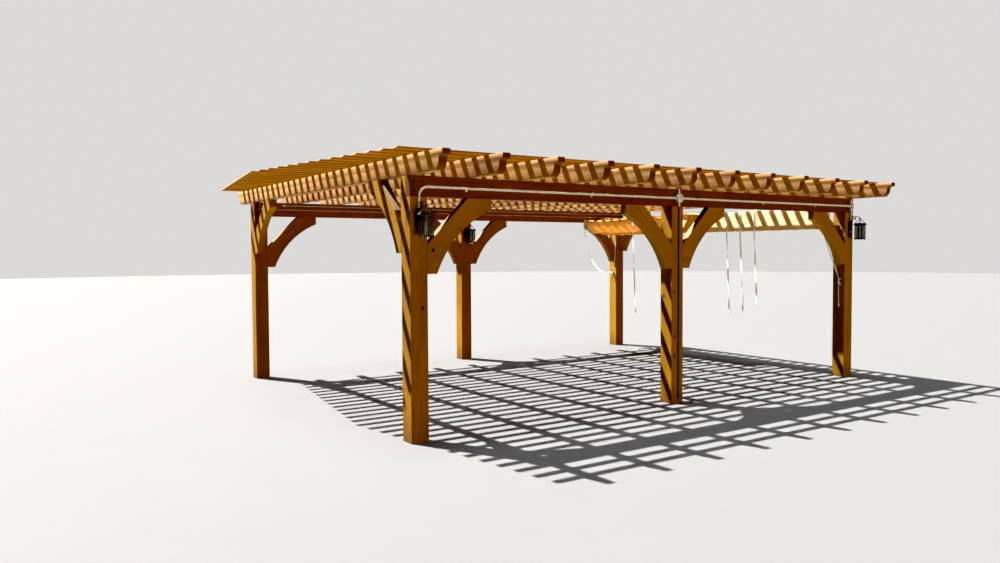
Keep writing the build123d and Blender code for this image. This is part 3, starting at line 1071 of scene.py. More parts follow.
@dataclass
class Board:
    """One sawn timber: a flat outline with a thickness, eased edges and coordinates along its fibres."""

    outline: Outline
    origin: Point
    across: Point
    up: Point
    thickness: float
    grain: Point
    tone: float | None
    ease: float = 0.004
    # beyond scroll_from, faces other than the sides and tops take the end grain's colour: partly real end
    # grain on the tail's curves, partly painted shade on its undersides
    scroll_from: float = 100.0  # edges further than this from the board's middle are cut across the grain

    def mesh(self, name: str) -> Mesh:
        """Build the board.

        Args:
            name: name of the mesh.

        Returns:
            The mesh, with the attributes that StainedTimber reads.
        """
        across, up = Vector(self.across), Vector(self.up)
        shape = Shape()
        data = shape.data
        near = [data.verts.new(Vector(self.origin) + across * p + up * q) for p, q in self.outline]
        grown = bmesh.ops.extrude_face_region(data, geom=[data.faces.new(near)])["geom"]
        moved = [item for item in grown if isinstance(item, bmesh.types.BMVert)]
        bmesh.ops.translate(data, vec=across.cross(up) * self.thickness, verts=moved)
        data.normal_update()
        sharp = [edge for edge in data.edges if edge.calc_face_angle(0.0) > math.radians(35)]
        bmesh.ops.bevel(data, geom=sharp, offset=self.ease, segments=2, profile=0.5, affect="EDGES")
        mesh = shape.mesh(name, 20.0)
        self.mark(mesh)
        return mesh

    def mark(self, mesh: Mesh) -> None:
        """Write the fibre coordinates, the end grain with painted shade on the scrolled tails, and the tone
        on a mesh.

        Args:
            mesh: the board's mesh.
        """
        along = Vector(self.grain)
        side = Vector(self.across).cross(Vector(self.up))
        width = side.cross(along)
        middle = sum((vert.co for vert in mesh.vertices), Vector()) / len(mesh.vertices)
        grain = mesh.attributes.new("grain", "FLOAT_VECTOR", "POINT")
        for vert, item in zip(mesh.vertices, grain.data):
            rel = vert.co - middle
            item.vector = (rel.dot(along), rel.dot(width), rel.dot(side))
        end = mesh.attributes.new("end_grain_and_tail_shade", "FLOAT", "FACE")
        for polygon, item in zip(mesh.polygons, end.data):
            beyond = abs((polygon.center - middle).dot(along)) > self.scroll_from
            # Painted shade: every face of the scrolled tail except its sides and tops is marked like end
            # grain, undersides included
            scroll = beyond and abs(polygon.normal.dot(side)) < 0.5 and polygon.normal.z < 0.5
            item.value = 1.0 if scroll or abs(polygon.normal.dot(along)) > 0.8 else 0.0
        if self.tone is not None:
            tone = mesh.attributes.new("tone", "FLOAT", "POINT")
            for item in tone.data:
                item.value = self.tone

    def stand(self, name: str, finish: Material) -> None:
        """Put the board in the scene in its node's place.

        Args:
            name: node that it replaces.
            finish: its material.
        """
        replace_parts(keep(f"{name}_timber", self.mesh(name), finish), name)


@dataclass
class TimberFrame:
    """Posts, beams and knee braces."""

    brace_leg: float = 0.750
    brace_nose: float = 0.108
    brace_cut: float = 0.460
    brace_waist: float = 0.186
    arch_steps: int = 24

    def build(self, kit: Kit) -> None:
        """Build every timber of the frame.

        Args:
            kit: materials and trees.
        """
        stains = {"front": kit.finishes.post, "back": kit.finishes.back_post}
        left, middle, right = POST_LEFTS
        for row, y in (("front", FRONT), ("back", BACK_ROW)):
            for side, x in zip(("left", "middle", "right"), POST_LEFTS):
                self.post(x, y).stand(f"post_{row}_{side}", stains[row])
            self.beam(y).stand(f"beam_{row}", kit.finishes.beam)
            for side, x, way in (("left", left + POST_SIDE, 1), ("middle_left", middle, -1),
                                 ("middle_right", middle + POST_SIDE, 1), ("right", right, -1)):
                self.brace((x, y, BEAM_UNDERSIDE), (way, 0, 0)).stand(f"brace_{row}_{side}", stains[row])
        for row, y, way in (("front", FRONT + POST_SIDE, 1), ("back", BACK_ROW, -1)):
            for side, x in (("left", LEFT), ("right", RIGHT - BEAM_DEPTH)):
                self.brace((x, y, BEAM_TOP), (0, way, 0)).stand(f"side_brace_{row}_{side}", stains[row])

    @staticmethod
    def post(x: float, y: float) -> Board:
        """Draw a post, its front half let in for the beam.

        Args:
            x: left face.
            y: front face.

        Returns:
            The post.
        """
        outline = [(0, 0), (POST_SIDE, 0), (POST_SIDE, BEAM_TOP), (BEAM_DEPTH, BEAM_TOP),
                   (BEAM_DEPTH, BEAM_UNDERSIDE), (0, BEAM_UNDERSIDE)]
        return Board(outline, (x, y, 0), Grain.ACROSS.value, UP, POST_SIDE, Grain.UPRIGHT.value,
                     (x * 0.37 + y * 0.23 + 5) % 1.0, 0.006)

    @staticmethod
    def beam(y: float) -> Board:
        """Draw the beam of a row.

        Args:
            y: front face.

        Returns:
            The beam.
        """
        outline = [(LEFT, BEAM_UNDERSIDE), (RIGHT, BEAM_UNDERSIDE), (RIGHT, BEAM_TOP), (LEFT, BEAM_TOP)]
        along = Grain.ALONG.value
        return Board(outline, (0, y + BEAM_DEPTH, 0), along, UP, BEAM_DEPTH, along, 0.35 if y < 0 else 0.75)

    def brace(self, corner: Point, away: Point) -> Board:
        """Draw a knee brace: a plank with a straight back and an arched underside.

        Args:
            corner: corner of the post and the timber above.
            away: direction from the post.

        Returns:
            The brace.
        """
        leg, nose, cut = self.brace_leg, self.brace_nose, self.brace_cut
        crown = (cut / math.sqrt(2) + self.brace_waist) / math.sqrt(2)
        outline = [(cut, 0.0), (leg, 0.0), *self.arch((leg, -nose), (crown, -crown), (nose, -leg)),
                   (0.0, -leg), (0.0, -cut)]
        # The plank grows along this normal and always lies on the same side of its corner
        normal = Vector(away).cross(Vector(UP))
        back = 0.0 if normal.x + normal.y > 0 else BEAM_DEPTH
        grain = (Vector(away) + Vector(UP)).normalized()
        return Board(outline, tuple(Vector(corner) - normal * back), away, UP, BEAM_DEPTH, tuple(grain),
                     (corner[0] * 0.61 + corner[1] * 0.17 + 4) % 1.0)

    def arch(self, start: Flat, middle: Flat, end: Flat) -> Outline:
        """Draw the circle through three points.

        Args:
            start: first point.
            middle: a point on the way.
            end: last point.

        Returns:
            The points from start to end.
        """
        (ax, ay), (bx, by), (cx, cy) = start, middle, end
        twice = 2 * (ax * (by - cy) + bx * (cy - ay) + cx * (ay - by))
        a2, b2, c2 = ax**2 + ay**2, bx**2 + by**2, cx**2 + cy**2
        ux = (a2 * (by - cy) + b2 * (cy - ay) + c2 * (ay - by)) / twice
        uy = (a2 * (cx - bx) + b2 * (ax - cx) + c2 * (bx - ax)) / twice
        radius = math.hypot(ax - ux, ay - uy)
        first, last = math.atan2(ay - uy, ax - ux), math.atan2(cy - uy, cx - ux)
        turn = (last - first + math.pi) % (2 * math.pi) - math.pi
        return arc((ux, uy), (radius, radius),
                   (first + turn * i / self.arch_steps for i in range(self.arch_steps + 1)))


@dataclass
class Roof:
    """Rafters with scrolled tails and the slats on them."""

    rafters: int = 12
    rafter_thickness: float = 0.089
    nose_front: float = -3.175
    nose_back: float = 3.175
    nose_height: float = 0.054
    ledge: float = 0.025
    cove: float = 0.040
    ogee: float = 0.060
    slats: int = 27
    slat_width: float = 0.089
    slat_thickness: float = 0.0212
    slat_inset: float = 0.295
    end_overhang: float = 0.320
    peak_overhang: float = 0.760
    arc_steps: int = 10
    screw_spread: float = 0.026

    def tail(self, nose: float, inward: int) -> Outline:
        """Draw one scrolled tail, from the nose's top to the underside.

        Args:
            nose: end of the rafter.
            inward: 1 where the rafter runs towards +Y from it, or -1.

        Returns:
            The outline's points.
        """
        ledge_z = RAFTER_TOP - self.nose_height
        ogee_z = ledge_z - self.cove
        drop = ogee_z - BEAM_TOP
        radius = (drop**2 + self.ogee**2) / (2 * self.ogee)
        sweep = math.asin(drop / radius)
        corner = nose + inward * (self.ledge + self.cove)
        steps = range(self.arc_steps + 1)
        cove = arc((nose + inward * self.ledge, ogee_z), (inward * self.cove, self.cove),
                   (math.pi / 2 * (1 - step / self.arc_steps) for step in steps))
        ogee = arc((corner + inward * radius, ogee_z), (-inward * radius, -radius),
                   (sweep * step / self.arc_steps for step in steps[1:]))
        return [(nose, RAFTER_TOP), (nose, ledge_z), *cove, *ogee]

    def build(self, kit: Kit) -> None:
        """Build rafters, slats and the screws on top.

        Args:
            kit: materials and trees.
        """
        outline = self.tail(self.nose_front, 1) + self.tail(self.nose_back, -1)[::-1]
        across, along = Grain.ACROSS.value, Grain.ALONG.value
        scroll = self.ledge + self.cove + self.ogee - 0.002
        rafter = Board(outline, (0, 0, 0), across, UP, self.rafter_thickness, across, None,
                       scroll_from=self.nose_back - scroll)
        pitch = (RIGHT - LEFT - self.rafter_thickness) / (self.rafters - 1)
        piece = kit.row.lay("rafters", rafter.mesh("rafter"), {
            "Count": self.rafters, "Start": (LEFT, 0.0, 0.0), "Step": (pitch, 0.0, 0.0), "Seed": 4,
            "Trim": 0.0, "Trim Left Of": -100.0, "Finish": kit.finishes.rafter})
        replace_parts(piece, *[f"rafter_{number:02d}" for number in range(1, self.rafters + 1)])

        half = self.slat_width / 2
        left = LEFT - self.peak_overhang
        outline = [(left, -half), (RIGHT, -half), (RIGHT, half), (left, half)]
        slat = Board(outline, (0, 0, RAFTER_TOP), along, across, self.slat_thickness, along, None, 0.003)
        first = self.nose_front + self.slat_inset
        step = (self.nose_back - self.nose_front - 2 * self.slat_inset) / (self.slats - 1)
        piece = kit.row.lay("slats", slat.mesh("slat"), {
            "Count": self.slats, "Start": (0.0, first, 0.0), "Step": (0.0, step, 0.0), "Seed": 11,
            "Trim": self.peak_overhang - self.end_overhang, "Trim Left Of": left + 0.2,
            "Finish": kit.finishes.slat})
        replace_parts(piece, "slats_front", "slats_middle", "slats_back")

        head = Shape()
        head.turned((0, 0, 0), UP, 10, (-0.0015, 0.0008, 0.0048, 0.0042))
        top = RAFTER_TOP + self.slat_thickness
        middle = LEFT + self.rafter_thickness / 2
        points = [(middle + i * pitch, first + j * step + side * self.screw_spread, top)
                  for i, j, side in product(range(self.rafters), range(self.slats), (-1, 1))]
        kit.repeater.place_at("slat_screws", head.mesh("screw"), points, kit.finishes.steel, Slot.ZINC)


@dataclass
class Bolts:
    """Black hex bolts on round washers that hold the beams to the posts."""

    columns: Flat = (0.047, 0.143)
    rows: Flat = (2.448, 2.538)
    single: Point = (-0.369, FRONT, 2.447)
    washer: float = 0.019
    head: float = 0.0135

    def build(self, kit: Kit) -> None:
        """Build all bolts as one piece.

        Args:
            kit: materials and trees.
        """
        shape, head = Shape(), self.head
        shape.turned((0, 0, 0), OUT, 24, (-0.0005, 0.003, self.washer, self.washer - 0.001))
        shape.turned((0, 0, 0), OUT, 6, (0.003, 0.011, head, head))
        shape.turned((0, 0, 0), OUT, 18, (0.011, 0.0125, head * 0.84, head * 0.6))
        spots = list(product(self.columns, self.rows))
        # The conduit and its boxes cover the places of some of the front bolts
        free = (spots[:2] + spots[3:], spots[:2], spots[:2])
        points = [(x + across, FRONT, z) for x, bare in zip(POST_LEFTS, free) for across, z in bare]
        points += [(x + across, BACK_ROW, z) for x in POST_LEFTS for across, z in spots]
        points.append(self.single)
        kit.repeater.place_at("bolts", shape.mesh("bolt"), points, kit.finishes.iron, Slot.LANTERN,
                              turn=(0.0, math.pi / 3, 0.0), seed=3)


# Conduit, boxes and cable


@dataclass
class Wiring:
    """Galvanised conduit on the front beam, its boxes and straps, and the cable down the middle post."""

    axis_z: float = WIRE_Z
    axis_y: float = -2.557
    radius: float = 0.0117
    junction_x: float = 0.390
    junction_radius: float = 0.050
    corner_x: float = 3.942
    straps: tuple[float, ...] = (-2.614, -0.984, 1.978, 3.103)
    cable_y: float = -2.5543
    cable_foot: float = 0.060
    clips: int = 5
    clip_foot: float = 0.30
    clip_pitch: float = 0.42

    def build(self, kit: Kit) -> None:
        """Build boxes, straps and clips, and dress the conduit and cable.

        Args:
            kit: materials and trees.
        """
        zinc, rubber = kit.finishes.zinc, kit.finishes.rubber
        for node, finish in (("conduit", zinc), ("post_cable", rubber)):
            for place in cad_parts[node].material_slots:
                place.material = finish
        self.boxes(zinc)
        self.couplings(zinc)
        strap = Shape()
        hoop = [(0, 0.0115, -0.030), (0, 0.0100, -0.015), (0, 0.004, -0.0145), (0, -0.0125, -0.0125),
                (0, -0.0140, 0.0), (0, -0.0125, 0.0125), (0, 0.004, 0.0145), (0, 0.0115, 0.015)]
        strap.rod(hoop, 0.0016, 8)
        strap.stretch((5.5, 1, 1))
        strap.turned((0, 0, -0.0245), OUT, 12, (-0.0115, -0.006, 0.0055, 0.004))
        points = [(x, self.axis_y, self.axis_z) for x in self.straps]
        kit.repeater.place_at("conduit_straps", strap.mesh("strap"), points, zinc, Slot.ZINC)
        clip = Shape()
        clip.rod([(-0.017, 0.0088, 0), (-0.0105, 0.006, 0), (-0.0105, -0.0105, 0), (0.0105, -0.0105, 0),
                  (0.0105, 0.006, 0), (0.017, 0.0088, 0)], 0.0018, 8)
        clip.stretch((1, 1, 3.5))
        clip.turned((0.0145, 0, 0), OUT, 10, (-0.009, -0.002, 0.0035, 0.0035))
        points = [(self.junction_x, self.cable_y, self.clip_foot + self.clip_pitch * i)
                  for i in range(self.clips)]
        kit.repeater.place_at("cable_clips", clip.mesh("clip"), points, rubber, Slot.CABLE)
        end = Shape()
        end.turned((self.junction_x, self.cable_y, self.cable_foot), UP, 20, (0, 0.040, 0.0115, 0.0115),
                   (0.040, 0.048, 0.0115, 0.0092), (0, -0.008, 0.0115, 0.008))
        keep("cable_end_cap", end.mesh("cap"), rubber)

    def boxes(self, zinc: Material) -> None:
        """Build the round box and the corner box, each with a screwed cover.

        Args:
            zinc: their material.
        """
        shape = Shape()
        x, z, radius = self.junction_x, self.axis_z, self.junction_radius
        shape.turned((x, FRONT, z), OUT, 40, (0, 0.034, radius - 0.003, radius - 0.004),
                     (0.034, 0.039, radius, radius), (0.039, 0.042, radius - 0.003, radius - 0.010))
        screws = arc((x, z), (radius - 0.012, radius - 0.012), (math.radians(45), math.radians(225)))
        for screw_x, screw_z in screws:
            shape.turned((screw_x, FRONT, screw_z), OUT, 12, (0.040, 0.0435, 0.0045, 0.0038))
        x = self.corner_x
        shape.block((x - 0.021, FRONT - 0.038, z - 0.0375), (x + 0.021, FRONT, z + 0.0375), 0.008)
        shape.block((x - 0.023, FRONT - 0.042, z - 0.035), (x + 0.023, FRONT - 0.037, z + 0.035), 0.002)
        for side in (-1, 1):
            shape.turned((x, FRONT, z + side * 0.027), OUT, 12, (0.041, 0.0445, 0.0042, 0.0036))
        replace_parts(keep("junction_boxes_cast", shape.mesh("boxes"), zinc), "junction_boxes")

    def couplings(self, zinc: Material) -> None:
        """Build the set-screw couplings where conduit enters a box or a lantern plate.

        Args:
            zinc: their material.
        """
        shape = Shape()
        y, z, reach, radius = self.axis_y, self.axis_z, self.junction_radius - 0.004, self.radius
        centre, corner = self.junction_x, self.corner_x
        ends = [((centre - reach, y, z), (-1, 0, 0)), ((centre + reach, y, z), (1, 0, 0)),
                ((centre, y, z + reach), UP), ((centre, y, z - reach), DOWN),
                ((corner - 0.020, y, z), (-1, 0, 0)), ((corner, y, z + 0.036), UP),
                ((corner, y, z - 0.036), DOWN)]
        for start, way in ends:
            shape.turned(start, way, 8, (0, 0.014, radius + 0.0045, radius + 0.0045))
            shape.turned(start, way, 24, (0.014, 0.034, radius + 0.0025, radius + 0.0025))
            screw = Vector(start) + Vector(way) * 0.025
            shape.turned(screw, OUT, 10, (radius + 0.001, radius + 0.006, 0.003, 0.003))
        for x, low, high in ((centre, 2.588, 2.604), (corner, 2.572, 2.586)):
            shape.turned((x, y, 0), UP, 24, (low, high, radius + 0.003, radius + 0.001))
        keep("conduit_couplings", shape.mesh("couplings"), zinc)


@dataclass
class Lantern:
    """Black iron wall lantern: oval plate, scrolled arm, open pyramid roof and a glazed square body."""

    name: str
    x: float
    face_y: float
    reach: float = 0.155
    body: float = 0.108
    eaves: float = 0.136
    base_z: float = 2.005
    eaves_z: float = 2.215
    peak_z: float = 2.320
    plate_top: float = 2.285
    plate_height: float = 0.180
    plate_width: float = 0.088
    bar: float = 0.011
    middle_bar: float = 0.009

    def build(self, kit: Kit) -> None:
        """Build the lantern's iron, glass and candle.

        Args:
            kit: materials and trees.
        """
        iron = Shape()
        self.plate(iron)
        self.arm(iron)
        self.cage(iron)
        self.roof(iron)
        name, finishes = self.name, kit.finishes
        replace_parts(keep(f"{name}_iron", iron.mesh(f"{name}_iron", 30.0), finishes.iron), name)
        glass = Shape()
        x, y, half = self.x, self.face_y - self.reach, self.body / 2 - self.bar * 0.6
        low, high, thin = self.base_z + 0.016, self.eaves_z - 0.012, 0.0015
        for side in (-1, 1):
            inner, outer = sorted((side * (half - thin), side * (half + thin)))
            glass.block((x + inner, y - half, low), (x + outer, y + half, high))
            glass.block((x - half + 2 * thin, y + inner, low), (x + half - 2 * thin, y + outer, high))
        keep(f"{name}_glass", glass.mesh(f"{name}_glass"), finishes.glass)
        candle = Shape()
        foot = (x, y, self.base_z)
        candle.turned(foot, UP, 24, (0.014, 0.110, 0.012, 0.012), (0.110, 0.116, 0.012, 0.008))
        candle.ball((x, y, self.base_z + 0.130), 0.014)
        candle.turned(foot, UP, 16, (0.138, 0.168, 0.011, 0.001))
        keep(f"{name}_candle", candle.mesh(f"{name}_candle", 40.0), finishes.candle)

    def plate(self, shape: Shape) -> None:
        """Add the wall plate: an oval flange with a raised oval boss.

        Args:
            shape: where it is added.
        """
        middle = self.plate_top - self.plate_height / 2
        rim = [tuple(math.copysign(abs(part) ** 0.75, part) for part in spot)
               for spot in arc((0, 0), (1, 1), (2 * math.pi * step / 40 for step in range(40)))]
        for scale, start, end in ((1.0, 0.0, 0.007), (0.80, 0.007, 0.014), (0.62, 0.014, 0.022)):
            rings = []
            for depth, shrink in ((start, 1.0), (end - 0.002, 1.0), (end, 0.95)):
                wide, tall = self.plate_width / 2 * scale * shrink, self.plate_height / 2 * scale * shrink
                rings.append([(self.x + p * wide, self.face_y - depth, middle + q * tall) for p, q in rim])
            shape.skin(rings)
        for side in (-1, 1):
            shape.ball((self.x, self.face_y - 0.012, middle + side * 0.052), 0.0055)

    def arm(self, shape: Shape) -> None:
        """Add the arm: out of the plate, up over the roof, with a scroll below it.

        Args:
            shape: where it is added.
        """
        x, face = self.x, self.face_y
        route = ((0.016, 2.262), (0.034, 2.262), (0.041, 2.272), (0.041, 2.318), (0.054, 2.3395),
                 (0.088, 2.3400), (0.124, 2.3330), (0.155, 2.3200), (0.155, 2.300))
        shape.rod([(x, face - out, z) for out, z in route], 0.0052)
        curl = []
        for step in range(15):
            angle = math.radians(150 - 32 * step)
            size = 0.023 * (1 - step / 17)
            curl.append((x, face - 0.075 - size * math.cos(angle), 2.304 + size * math.sin(angle)))
        shape.rod(curl, 0.0040, 8)
        shape.ball(curl[-1], 0.0075)
        shape.ball((x, face - 0.041, 2.334), 0.0085)

    def bars(self, shape: Shape, out: float, half: float, wide: float, low: float, high: float,
             ease: float = 0.0) -> None:
        """Add one upright or level bar to each side of the body.

        Args:
            shape: where they are added.
            out: from the body's middle to the bar's.
            half: half the bar's length along its side.
            wide: half the bar's depth.
            low: lower end.
            high: upper end.
            ease: width of the rounded edges.
        """
        x, y = self.x, self.face_y - self.reach
        for edge in (-out, out):
            shape.block((x + edge - wide, y - half, low), (x + edge + wide, y + half, high), ease)
            shape.block((x - half, y + edge - wide, low), (x + half, y + edge + wide, high), ease)

    def cage(self, shape: Shape) -> None:
        """Add corner bars, rails, middle bars, base and ball feet.

        Args:
            shape: where they are added.
        """
        x, y, half, bar = self.x, self.face_y - self.reach, self.body / 2, self.bar / 2
        low, high, thin = self.base_z, self.eaves_z, self.middle_bar / 2
        for sx, sy in product((-1, 1), (-1, 1)):
            cx, cy = x + sx * (half - bar), y + sy * (half - bar)
            shape.block((cx - bar, cy - bar, low), (cx + bar, cy + bar, high), 0.0012)
            shape.ball((cx, cy, low - 0.001), 0.0075)
        self.bars(shape, half - 0.005, thin, thin, low + 0.010, high - 0.008)
        brim = half + 0.004
        shape.block((x - brim, y - brim, low), (x + brim, y + brim, low + 0.006), 0.001)
        for start, end in ((low + 0.006, low + 0.018), (high - 0.014, high - 0.002)):
            self.bars(shape, half - bar, half, bar, start, end, 0.001)

    def roof(self, shape: Shape) -> None:
        """Add the eaves plate, the four hip bars, the inner cap and the finial.

        Args:
            shape: where they are added.
        """
        x, y, half = self.x, self.face_y - self.reach, self.eaves / 2
        z, peak = self.eaves_z, self.peak_z
        shape.block((x - half, y - half, z - 0.003), (x + half, y + half, z + 0.003), 0.0012)
        shape.skin([[(x + sx * side, y + sy * side, level) for sx, sy in CORNERS] for side, level in
                    ((half - 0.002, z + 0.003), (half * 0.62, z + 0.026), (half * 0.50, z + 0.026))])
        hip = ((half - 0.005, z + 0.004), (half * 0.45, z + 0.045), (0.006, peak - 0.016))
        for sx, sy in product((-1, 1), (-1, 1)):
            shape.rod([(x + sx * out, y + sy * out, level) for out, level in hip], 0.0042, 8)
        shape.turned((x, y, z), UP, 20, (0.010, 0.030, 0.024, 0.018))
        shape.turned((x, y, peak), UP, 16, (-0.022, -0.010, 0.011, 0.007))
        shape.ball((x, y, peak - 0.008), 0.009)


# Sliding shades, wires and cords


@dataclass
class Shade:
    """One canvas shade: a single sheet, gathered in tight folds under its wires."""

    name: str
    low_y: float
    high_y: float
    lead_x: float
    folds_x: float
    folds: int
    seed: float
    slack: bool = False  # its leading edge has slid away from the folds and sags between them
    end_x: float = 3.766
    top_z: float = 2.4785
    bottom_z: float = 2.163
    wire_inset: float = 0.100
    droop: float = 0.020  # of the cloth's top between two wires
    edge_droop: float = 0.012  # and outside them
    pocket: float = 0.011
    columns: int = 96
    fold_steps: int = 14
    thickness: float = 0.0010

    def profile(self) -> list[Point]:
        """Draw the sheet's side view along its length.

        Returns:
            Points as X, Z and how far each hangs between the wires' height, 0, and the bottom, 1.
        """
        start_z = self.top_z - (0.045 if self.slack else 0.004)
        pocket = arc((self.lead_x + self.pocket, start_z - self.pocket), (self.pocket * 0.9, self.pocket),
                     (math.radians(200 - 40 * step) for step in range(9)))
        points = [(x, z, 0.0) for x, z in pocket]
        if self.slack:
            points += self.swag((self.lead_x + 0.004, start_z - 0.022))
        pitch = (self.end_x - self.folds_x) / self.folds
        high, low = self.top_z - pitch * 0.2, self.bottom_z + pitch * 0.2
        share = [step / self.fold_steps for step in range(self.fold_steps + 1)]
        for fold in range(self.folds):
            x = self.folds_x + fold * pitch
            down_x, up_x = x + pitch * 0.22, x + pitch * 0.72
            if fold == 0 and not self.slack:
                down_x = self.lead_x + 0.002
            points += [(down_x, high + (low - high) * t, t) for t in share[1:]]
            middle, radius = (down_x + up_x) / 2, (up_x - down_x) / 2
            points += self.bend((middle, low), (radius, radius), 1.0, 1)
            points += [(up_x, high + (low - high) * t, t) for t in share[::-1]]
            if fold < self.folds - 1:
                points += self.bend((up_x + pitch * 0.25, high), (pitch * 0.25, pitch * 0.25 * 0.8), 0.0, -1)
        return points

    @staticmethod
    def bend(centre: Flat, radii: Flat, hang: float, way: int) -> list[Point]:
        """Draw the half circle at a fold's end, without its first and last points.

        Args:
            centre: its centre.
            radii: its two radii.
            hang: how far it hangs, from 0 to 1.
            way: 1 for a valley, -1 for a crest.

        Returns:
            The points.
        """
        angles = (math.pi + way * math.pi * step / 6 for step in range(1, 6))
        return [(x, z, hang) for x, z in arc(centre, radii, angles)]

    def swag(self, first: Flat) -> list[Point]:
        """Draw the slack cloth between the leading edge and the first fold.

        Args:
            first: where it starts.

        Returns:
            The points.
        """
        valley_x, valley_z, radius = self.lead_x + 0.176, 2.190, 0.018
        rest = (valley_x - 0.016, valley_z + 0.016)
        points = []
        for step in range(1, 19):
            t = step / 18
            bow = 0.014 * math.sin(math.pi * t)
            points.append((first[0] + (rest[0] - first[0]) * t - bow,
                           first[1] + (rest[1] - first[1]) * t - bow, t))
        turn = arc((valley_x, rest[1]), (radius, radius),
                   (math.radians(215 + 105 * step / 6) for step in range(1, 7)))
        points += [(x, z, 1.0) for x, z in turn]
        last, crest = turn[-1], (self.folds_x - 0.010, self.top_z)
        for step in range(1, 19):
            t = step / 18
            bow = 0.012 * math.sin(math.pi * t)
            points.append((last[0] + (crest[0] - last[0]) * t + bow * 0.8,
                           last[1] + (crest[1] - last[1]) * t - bow, 1.0 - t))
        return points

    def wires(self) -> list[float]:
        """Y of the three wires over this shade."""
        return [self.low_y + self.wire_inset, (self.low_y + self.high_y) / 2, self.high_y - self.wire_inset]

    def sag(self, y: float) -> float:
        """Say how far the top hangs below the wires.

        Args:
            y: place across the sheet.

        Returns:
            The distance.
        """
        wires = self.wires()
        for first, second in zip(wires, wires[1:]):
            if first <= y <= second:
                t = (y - first) / (second - first)
                return self.droop * 4 * t * (1 - t)
        return self.edge_droop * min(abs(y - wires[0]), abs(y - wires[-1])) / self.wire_inset

    def build(self, canvas: Material) -> Object:
        """Args:
            canvas: its material.

        Returns:
            The sheet.
        """
        profile = self.profile()
        lengths = [0.0]
        for (x0, z0, _), (x1, z1, _) in zip(profile, profile[1:]):
            lengths.append(lengths[-1] + math.hypot(x1 - x0, z1 - z0))
        width = self.high_y - self.low_y
        verts, cloth = [], []
        for column in range(self.columns + 1):
            y = self.low_y + width * column / self.columns
            drop = self.sag(y)
            for (x, z, hang), along in zip(profile, lengths):
                ripple = noise.noise(Vector((x * 9.0, y * 2.6, self.seed))) * 0.010 * hang
                shared = noise.noise(Vector((self.seed, y * 3.4, hang * 0.7))) * 0.012 * hang
                lift = noise.noise(Vector((x * 5.0, y * 4.0, self.seed + 3))) * 0.010 * hang
                verts.append((x + ripple * 0.35 + shared * 0.5, y, z - drop * (1 - hang) + lift))
                cloth.append((along, y, min(y - self.low_y, self.high_y - y)))
        count = len(profile)
        faces = [(c * count + i, c * count + i + 1, (c + 1) * count + i + 1, (c + 1) * count + i)
                 for c in range(self.columns) for i in range(count - 1)]
        mesh = bpy.data.meshes.new(self.name)
        mesh.from_pydata(verts, [], faces)
        attribute = mesh.attributes.new("cloth", "FLOAT_VECTOR", "POINT")
        for item, value in zip(attribute.data, cloth):
            item.vector = value
        mesh.shade_smooth()
        piece = keep(f"{self.name}_canvas", mesh, canvas)
        wall = piece.modifiers.new("thickness", "SOLIDIFY")
        wall.thickness = self.thickness
        wall.offset = 0.0
        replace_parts(piece, self.name)
        LOG.info("%s: cut %.3f by %.3f m", self.name, width, lengths[-1])
        return piece

    def crests(self) -> list[Point]:
        """Where the carriers hang: each fold's top under each wire."""
        pitch = (self.end_x - self.folds_x) / self.folds
        return [(self.folds_x + pitch * (fold - 0.03), y, WIRE_Z)
                for fold, y in product(range(self.folds), self.wires())]


@dataclass
class Wires:
    """Guide wires, the screw-eyes at their ends and the carriers that the shades hang from."""

    bracket_x: Flat = (-3.2055, 3.9655)
    eye_ring: float = 0.0095
    carrier_ring: float = 0.0065

    @staticmethod
    def ring(radius: float) -> list[Point]:
        """Draw a ring across the wire.

        Args:
            radius: its radius.

        Returns:
            Its points, the last one on the first.
        """
        spots = arc((0, 0), (radius, radius), (math.radians(30 * i) for i in range(13)))
        return [(0, y, z) for y, z in spots]

    def build(self, shades: list[Shade], kit: Kit) -> None:
        """Build screw-eyes and carriers, and dress the wires.

        Args:
            shades: the shades that hang from the wires.
            kit: materials and trees.
        """
        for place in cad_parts["guide_wires"].material_slots:
            place.material = kit.finishes.steel
        eye = Shape()
        eye.turned((0, 0, 0), UP, 12, (0.009, 0.110, 0.0030, 0.0030))
        eye.turned((0, 0, 0), UP, 16, (0.106, 0.110, 0.0080, 0.0070))
        eye.rod(self.ring(self.eye_ring), 0.0026, 8)
        eye.turned((0, 0, 0), Grain.ALONG.value, 16, (-0.013, 0.013, 0.0046, 0.0046))
        points = [(x, y, WIRE_Z) for x in self.bracket_x for shade in shades for y in shade.wires()]
        piece = kit.repeater.place_at("wire_screw_eyes", eye.mesh("eye"), points, kit.finishes.zinc,
                                      Slot.ZINC)
        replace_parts(piece, "wire_anchors")
        carrier = Shape()
        carrier.rod(self.ring(self.carrier_ring), 0.0016, 8)
        carrier.block((-0.0035, -0.006, -0.016), (0.0035, 0.006, -0.005), 0.001)
        points = [spot for shade in shades for spot in shade.crests()]
        kit.repeater.place_at("shade_carriers", carrier.mesh("carrier"), points, kit.finishes.nylon,
                              Slot.CORD)


